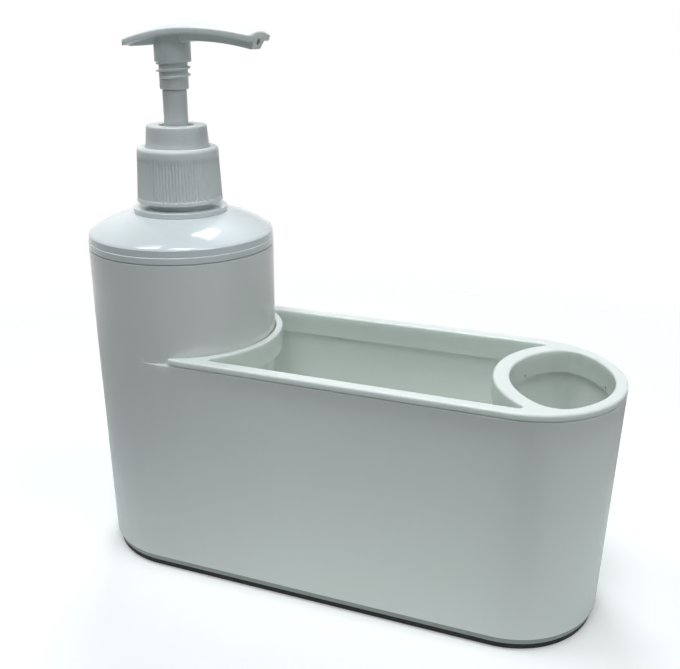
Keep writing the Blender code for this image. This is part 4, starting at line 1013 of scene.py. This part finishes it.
# Shades are factors on a piece's own colour
MILKY_SHADE, WORN_SHADE, RECESS_SHADE = 0.985, 1.05, 0.45
RUBBER_DUST_SHADE, SCUFF_SHADE = 1.6, 2.4
RUBBER_GLOSS_SPAN = 0.08
BRIGHT_STEEL, DULL_STEEL = (0.70, 0.71, 0.73, 1), (0.58, 0.59, 0.61, 1)
CLEAR_GREEN, HAZY_GREEN = (0.86, 0.94, 0.92, 1), (0.78, 0.88, 0.86, 1)
PLASTIC_IOR, GLASS_IOR = 1.49, 1.52
COAT_ROUGHNESS = 0.06


class Nodes:
    def __init__(self, owner):
        owner.use_nodes = True
        self.owner, self.tree = owner, owner.node_tree
        self.shader = self.tree.nodes.get("Principled BSDF")
        self.place = self.add("TexCoord").outputs["Object"]

    def add(self, kind, sockets=None, **settings):
        node = self.tree.nodes.new("ShaderNode" + kind)
        for key, value in settings.items():
            setattr(node, key, value)
        self.fill(node, sockets or {})
        return node

    def fill(self, node, sockets):
        """Give a node's sockets, by name or number, a value or another node's output."""
        for key, value in sockets.items():
            if isinstance(value, bpy.types.NodeSocket):
                self.tree.links.new(value, node.inputs[key])
            else:
                node.inputs[key].default_value = value

    def finish(self, sockets):
        self.fill(self.shader, sockets)
        return self.owner

    def noise(self, scale, detail=3.0, distortion=0.0, stretch=None):
        """A noise over the object's own space; scale is in features per metre."""
        place = self.place
        if stretch:
            mapped = self.add("Mapping", {"Vector": place, "Scale": stretch})
            place = mapped.outputs["Vector"]
        sockets = {"Vector": place, "Scale": scale, "Detail": detail, "Distortion": distortion}
        return self.add("TexNoise", sockets).outputs["Fac"]

    def span(self, value, low, high, start=0.0, end=1.0):
        """The value's stretch from low to high, mapped to start..end and kept in it."""
        sockets = dict(enumerate((value, low, high, start, end)))
        return self.add("MapRange", sockets).outputs["Result"]

    def pattern(self, noise, spread):
        return self.span(self.noise(*noise), *spread)

    def mix(self, share, first, second):
        sockets = {0: share, 6: first, 7: second}
        return self.add("Mix", sockets, data_type="RGBA").outputs[2]

    def sum(self, first, second, operation="ADD"):
        sockets = {0: first, 1: second}
        return self.add("Math", sockets, operation=operation).outputs[0]

    def bump(self, height, distance, below=None):
        sockets = {"Strength": 1.0, "Distance": distance, "Height": height}
        if below:
            sockets["Normal"] = below
        return self.add("Bump", sockets).outputs["Normal"]

    def edges(self):
        """How far a place lies on a raised edge."""
        return self.span(self.add("NewGeometry").outputs["Pointiness"], *RAISED_EDGE)

    def distance(self, stretch=(1, 1, 1)):
        """How far a place lies from the object's origin."""
        sockets = {0: self.place, 1: stretch}
        across = self.add("VectorMath", sockets, operation="MULTIPLY")
        length = self.add("VectorMath", {0: across.outputs[0]}, operation="LENGTH")
        return length.outputs["Value"]


def shade(colour, factor):
    return (*[channel * factor for channel in colour], 1.0)


def moulded(colour, roughness, cast=(0.97, 1.0, 0.96), coat=0.0, subsurface=0.0,
            grain=0.00001, wave=0.00012, depth=0.0015, shaded_below=None):
    """Moulded plastic: light spread in its walls to a depth, flow mottling and a milky drift of
    colour, smudges and dried water marks in the gloss, polished and paler edges, a fine orange
    peel, the slow wave of a moulding, and painted shade: the colour darkened below a height."""
    nodes = Nodes(bpy.data.materials.new("finish"))
    worn = nodes.edges()
    milky = shade([a * b for a, b in zip(colour, cast)], MILKY_SHADE)
    tone = nodes.mix(nodes.pattern(*DRIFT), (*colour, 1.0), milky)
    tone = nodes.mix(nodes.pattern(*FLOW), tone, shade(colour, MILKY_SHADE))
    tone = nodes.mix(nodes.sum(worn, WORN_SHARE, "MULTIPLY"), tone, shade(colour, WORN_SHADE))
    # Painted shade: below the given height the colour is darkened, for the shade in the recess
    # under the body's edge
    if shaded_below:
        height = nodes.add("SeparateXYZ", {0: nodes.place}).outputs["Z"]
        painted_shade = nodes.span(height, shaded_below, shaded_below - RECESS_SHADE_FADE, 0.0, RECESS_SHADE_SHARE)
        tone = nodes.mix(painted_shade, tone, shade(colour, RECESS_SHADE))
    marks = nodes.sum(nodes.pattern(*SMUDGES), nodes.pattern(*WATER_MARKS))
    polish = nodes.sum(worn, WORN_POLISH, "MULTIPLY")
    slow = nodes.bump(nodes.noise(*MOULD_WAVE), wave)
    return nodes.finish({
        "Base Color": tone, "Roughness": nodes.sum(nodes.sum(marks, roughness), polish, "SUBTRACT"),
        "Normal": nodes.bump(nodes.noise(*ORANGE_PEEL), grain, slow), "IOR": PLASTIC_IOR,
        "Coat Weight": coat, "Coat Roughness": COAT_ROUGHNESS, "Subsurface Weight": subsurface,
        "Subsurface Radius": (1.0, 1.0, 1.0), "Subsurface Scale": depth})


def rubber(colour, roughness, grain):
    """Rubber: dusty mottling, a leathery grain and scuffed edges."""
    nodes = Nodes(bpy.data.materials.new("finish"))
    tone = nodes.mix(nodes.pattern(*RUBBER_DUST), (*colour, 1.0), shade(colour, RUBBER_DUST_SHADE))
    scuffs = nodes.sum(nodes.edges(), WORN_SHARE, "MULTIPLY")
    gloss = (0.3, 0.7, roughness - RUBBER_GLOSS_SPAN, roughness + RUBBER_GLOSS_SPAN)
    return nodes.finish({"Base Color": nodes.mix(scuffs, tone, shade(colour, SCUFF_SHADE)),
                         "Roughness": nodes.pattern(RUBBER_WEAR, gloss),
                         "Normal": nodes.bump(nodes.noise(*LEATHER), grain)})


def drawn_steel():
    """Drawn stainless wire: fine lines along the wire and a few dull patches."""
    nodes = Nodes(bpy.data.materials.new("finish"))
    lines = nodes.noise(*WIRE_LINES)
    tone = nodes.mix(nodes.pattern(*DULL_PATCHES), BRIGHT_STEEL, DULL_STEEL)
    return nodes.finish({"Base Color": tone, "Roughness": nodes.span(lines, *WIRE_GLOSS),
                         "Normal": nodes.bump(lines, POLISHED_BUMP), "Metallic": 1.0})


def clear_glass():
    """Glass: faintly green, with a light haze and fine scratches."""
    nodes = Nodes(bpy.data.materials.new("finish"))
    return nodes.finish({
        "Base Color": nodes.mix(nodes.pattern(*GLASS_HAZE), CLEAR_GREEN, HAZY_GREEN),
        "Roughness": nodes.pattern(*GLASS_SCRATCHES), "Transmission Weight": 1.0,
        "Normal": nodes.bump(nodes.noise(*GLASS_WAVE), POLISHED_BUMP), "IOR": GLASS_IOR})


# Roughness stays on one side of about 0.27 over each plastic: the renderer's denoising changes
# there and leaves a hard edge across a smooth wall
FINISHES = {
    # The body's colour is darkened below its base edge, a painted shade in the recess there
    "body_plastic": moulded((0.905, 0.96, 0.905), 0.17, (0.985, 1.0, 0.985), subsurface=1.0,
                            wave=0.00006, depth=0.0025, shaded_below=BODY_BASE),
    "rim_plastic": moulded((0.845, 0.895, 0.855), 0.16, (0.985, 1.0, 0.985), subsurface=1.0,
                           wave=0.00006, depth=0.002),
    "lid_plastic": moulded((0.79, 0.84, 0.865), 0.13, coat=0.2, wave=0.00005),
    "pump_plastic": moulded((0.815, 0.84, 0.835), 0.35, (0.98, 1.0, 1.0), subsurface=1.0,
                            wave=0.00002, depth=0.0016),
    "inner_plastic": moulded((0.76, 0.79, 0.75), 0.38, subsurface=0.1, wave=0.00002),
    "tube_plastic": moulded((0.80, 0.82, 0.79), 0.35, subsurface=0.15, wave=0.00002),
    "gasket_foam": rubber((0.52, 0.52, 0.49), 0.80, 0.00003),
    "pad_rubber": rubber((0.018, 0.018, 0.020), 0.72, 0.00004),
    "seal_rubber": rubber((0.03, 0.03, 0.034), 0.55, 0.00001),
    "spring_steel": drawn_steel(),
    "ball_glass": clear_glass(),
}
for slot_name, finish in FINISHES.items():
    finish.name = slot_name

# Each piece with the CAD node that it stands for
PIECES = (
    (build_body_moulding, "outer_body"), (build_foot_pad, "base_pad"),
    (build_rim_frame, "rim_insert"), (build_domed_lid, "reservoir_lid"),
    (build_seal_ring, "lid_seal"), (build_screw_cap, "ribbed_closure"),
    (build_stem_collar, "lock_collar"),
    (build_flat_gasket, "neck_gasket"), (build_pump_barrel, "pump_housing"),
    (build_cage_disc, "ball_cage"), (build_valve_ball, "inlet_ball"),
    (build_coil_spring, "return_spring"), (build_suction_tube, "dip_tube"),
    (build_piston_ring, "piston_seal"), (build_plunger_plug, "plunger_tip"),
    (build_hollow_stem, "pump_stem"), (build_press_head, "actuator_head"),
)


def dress(build, node):
    """Build a piece and put it in its CAD node's place, on its body and in its finish."""
    record = frame["record"]
    body = next(b for b, members in record["behaviour"]["bodies"].items() if node in members)
    slot = next(s["material_slot"] for s in record["subparts"] if s["node"] == node)
    piece = build()
    piece.data.transform(Matrix.Translation((AXIS_X, 0, 0)))
    piece.location = (0, 0, 0)
    piece.data.shade_smooth()
    piece.data.set_sharp_from_angle(angle=radians(SMOOTH_ANGLE))
    weighted = piece.modifiers.new("weighted", "WEIGHTED_NORMAL")
    weighted.keep_sharp = True
    settle(piece)
    piece.data.materials.clear()
    piece.data.materials.append(FINISHES[slot])
    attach(piece, body)
    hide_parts(node)
    return piece


dressed = {node: dress(build, node) for build, node in PIECES}
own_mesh(dressed["return_spring"])


# Stage: a pale floor that fades into the white, soft lamps and the photograph's camera. The camera
# sees the floor pale all over. What it throws back on the object is that of a small pale board
# under the object, on a dark ground, as the photograph's shading shows.

FLOOR_RADIUS = 2.0
FLOOR_SEGMENTS = 96
FADE_START, FADE_END = 0.20, 0.45
FLOOR_SEEN = (0.97, 0.97, 0.97)
FLOOR_LIFT = 0.20
FLOOR_BOUNCE = (0.78, 0.82, 0.81)
FLOOR_ROUGHNESS, FLOOR_SPECULAR = 0.9, 0.1
BOARD_START, BOARD_END = 0.09, 0.24
BOARD_STRETCH = (0.6, 1.0, 1.0)
BOARD_GROUND_SHADE = 0.1
SKY_COLOUR = (0.93, 0.97, 1.0)
SKY_LEVEL = 0.06
LAMP_COLOUR = (0.95, 1.0, 1.03)
LAMPS = (
    # x, y, z, watts, size
    (-0.50, -0.15, 1.25, 2.9, 0.32),
    (0.00, -0.15, 1.25, 3.3, 0.32),
    (0.50, -0.15, 1.25, 1.9, 0.32),
    (0.05, -0.70, 1.10, 2.8, 0.40),
    (-0.22, 0.50, 1.10, 4.0, 0.32),
    (1.30, -0.10, 0.50, 2.0, 0.60),
)
AIM = (0.0, 0.0, 0.10)

# Camera, fitted to the photograph
CAMERA_PLACE = (0.1022, -0.2888, 0.2169)
AZIMUTH, ELEVATION, ROLL = 19.85, 18.82, 0.40
FOCAL_PIXELS = 826.11
CENTRE_PIXELS = (339.26, 308.86)
IMAGE = (680, 669)
SENSOR = 36.0


def build_floor():
    bm = bmesh.new()
    bmesh.ops.create_circle(bm, cap_ends=True, segments=FLOOR_SEGMENTS, radius=FLOOR_RADIUS)
    floor = make("floor", bm, (0, 0, 0))
    nodes = Nodes(bpy.data.materials.new("floor"))
    seen = nodes.add("LightPath").outputs["Is Camera Ray"]
    board = nodes.span(nodes.distance(BOARD_STRETCH), BOARD_START, BOARD_END)
    bounce = nodes.mix(board, (*FLOOR_BOUNCE, 1), shade(FLOOR_BOUNCE, BOARD_GROUND_SHADE))
    floor.data.materials.append(nodes.finish({
        "Base Color": nodes.mix(seen, bounce, (*FLOOR_SEEN, 1)),
        "Emission Strength": nodes.sum(seen, FLOOR_LIFT, "MULTIPLY"),
        "Emission Color": (1, 1, 1, 1), "Roughness": FLOOR_ROUGHNESS,
        "Specular IOR Level": FLOOR_SPECULAR}))
    fade = nodes.span(nodes.distance(), FADE_START, FADE_END)
    clear = nodes.add("BsdfTransparent").outputs[0]
    mixed = nodes.add("MixShader", {0: fade, 1: nodes.shader.outputs[0], 2: clear})
    nodes.fill(nodes.tree.nodes["Material Output"], {"Surface": mixed.outputs[0]})


def build_world():
    """White where the camera and reflections look past the object, and a plain sky as light."""
    world = bpy.data.worlds.new("world")
    bpy.context.scene.world = world
    nodes = Nodes(world)
    nodes.tree.nodes.clear()
    seen = nodes.add("Background", {"Color": (1, 1, 1, 1), "Strength": 1.0})
    sky = nodes.add("Background", {"Color": (*SKY_COLOUR, 1), "Strength": SKY_LEVEL})
    rays = nodes.add("LightPath").outputs
    total = rays["Is Camera Ray"]
    for name in ("Is Glossy Ray", "Is Transmission Ray"):
        total = nodes.sum(total, rays[name], "MAXIMUM")
    mixed = nodes.add("MixShader", {0: total, 1: sky.outputs[0], 2: seen.outputs[0]})
    nodes.add("OutputWorld", {"Surface": mixed.outputs[0]})


def build_lamps():
    for i, (x, y, z, watts, size) in enumerate(LAMPS):
        data = bpy.data.lights.new(f"lamp_{i}", "AREA")
        data.energy, data.color, data.size = watts, LAMP_COLOUR, size
        lamp = add_object(f"lamp_{i}", data)
        lamp.location = (x, y, z)
        lamp.rotation_euler = (Vector(AIM) - lamp.location).to_track_quat("-Z", "Y").to_euler()


def build_camera():
    turn, rise, roll = radians(AZIMUTH), radians(ELEVATION), radians(ROLL)
    back = Vector((sin(turn) * cos(rise), -cos(turn) * cos(rise), sin(rise)))
    right = Vector((cos(turn), sin(turn), 0))
    up = back.cross(right)
    across = right * cos(roll) + up * sin(roll)
    upright = up * cos(roll) - right * sin(roll)
    facing = Matrix((across, upright, back)).transposed().to_4x4()
    data = bpy.data.cameras.new("camera")
    data.sensor_width = SENSOR
    data.lens = FOCAL_PIXELS * SENSOR / IMAGE[0]
    data.shift_x = (IMAGE[0] / 2 - CENTRE_PIXELS[0]) / IMAGE[0]
    data.shift_y = (CENTRE_PIXELS[1] - IMAGE[1] / 2) / IMAGE[0]
    camera = add_object("camera", data)
    camera.matrix_world = Matrix.Translation(CAMERA_PLACE) @ facing
    bpy.context.scene.camera = camera


build_floor()
build_world()
build_lamps()
build_camera()
bpy.context.scene.view_settings.view_transform = "Standard"
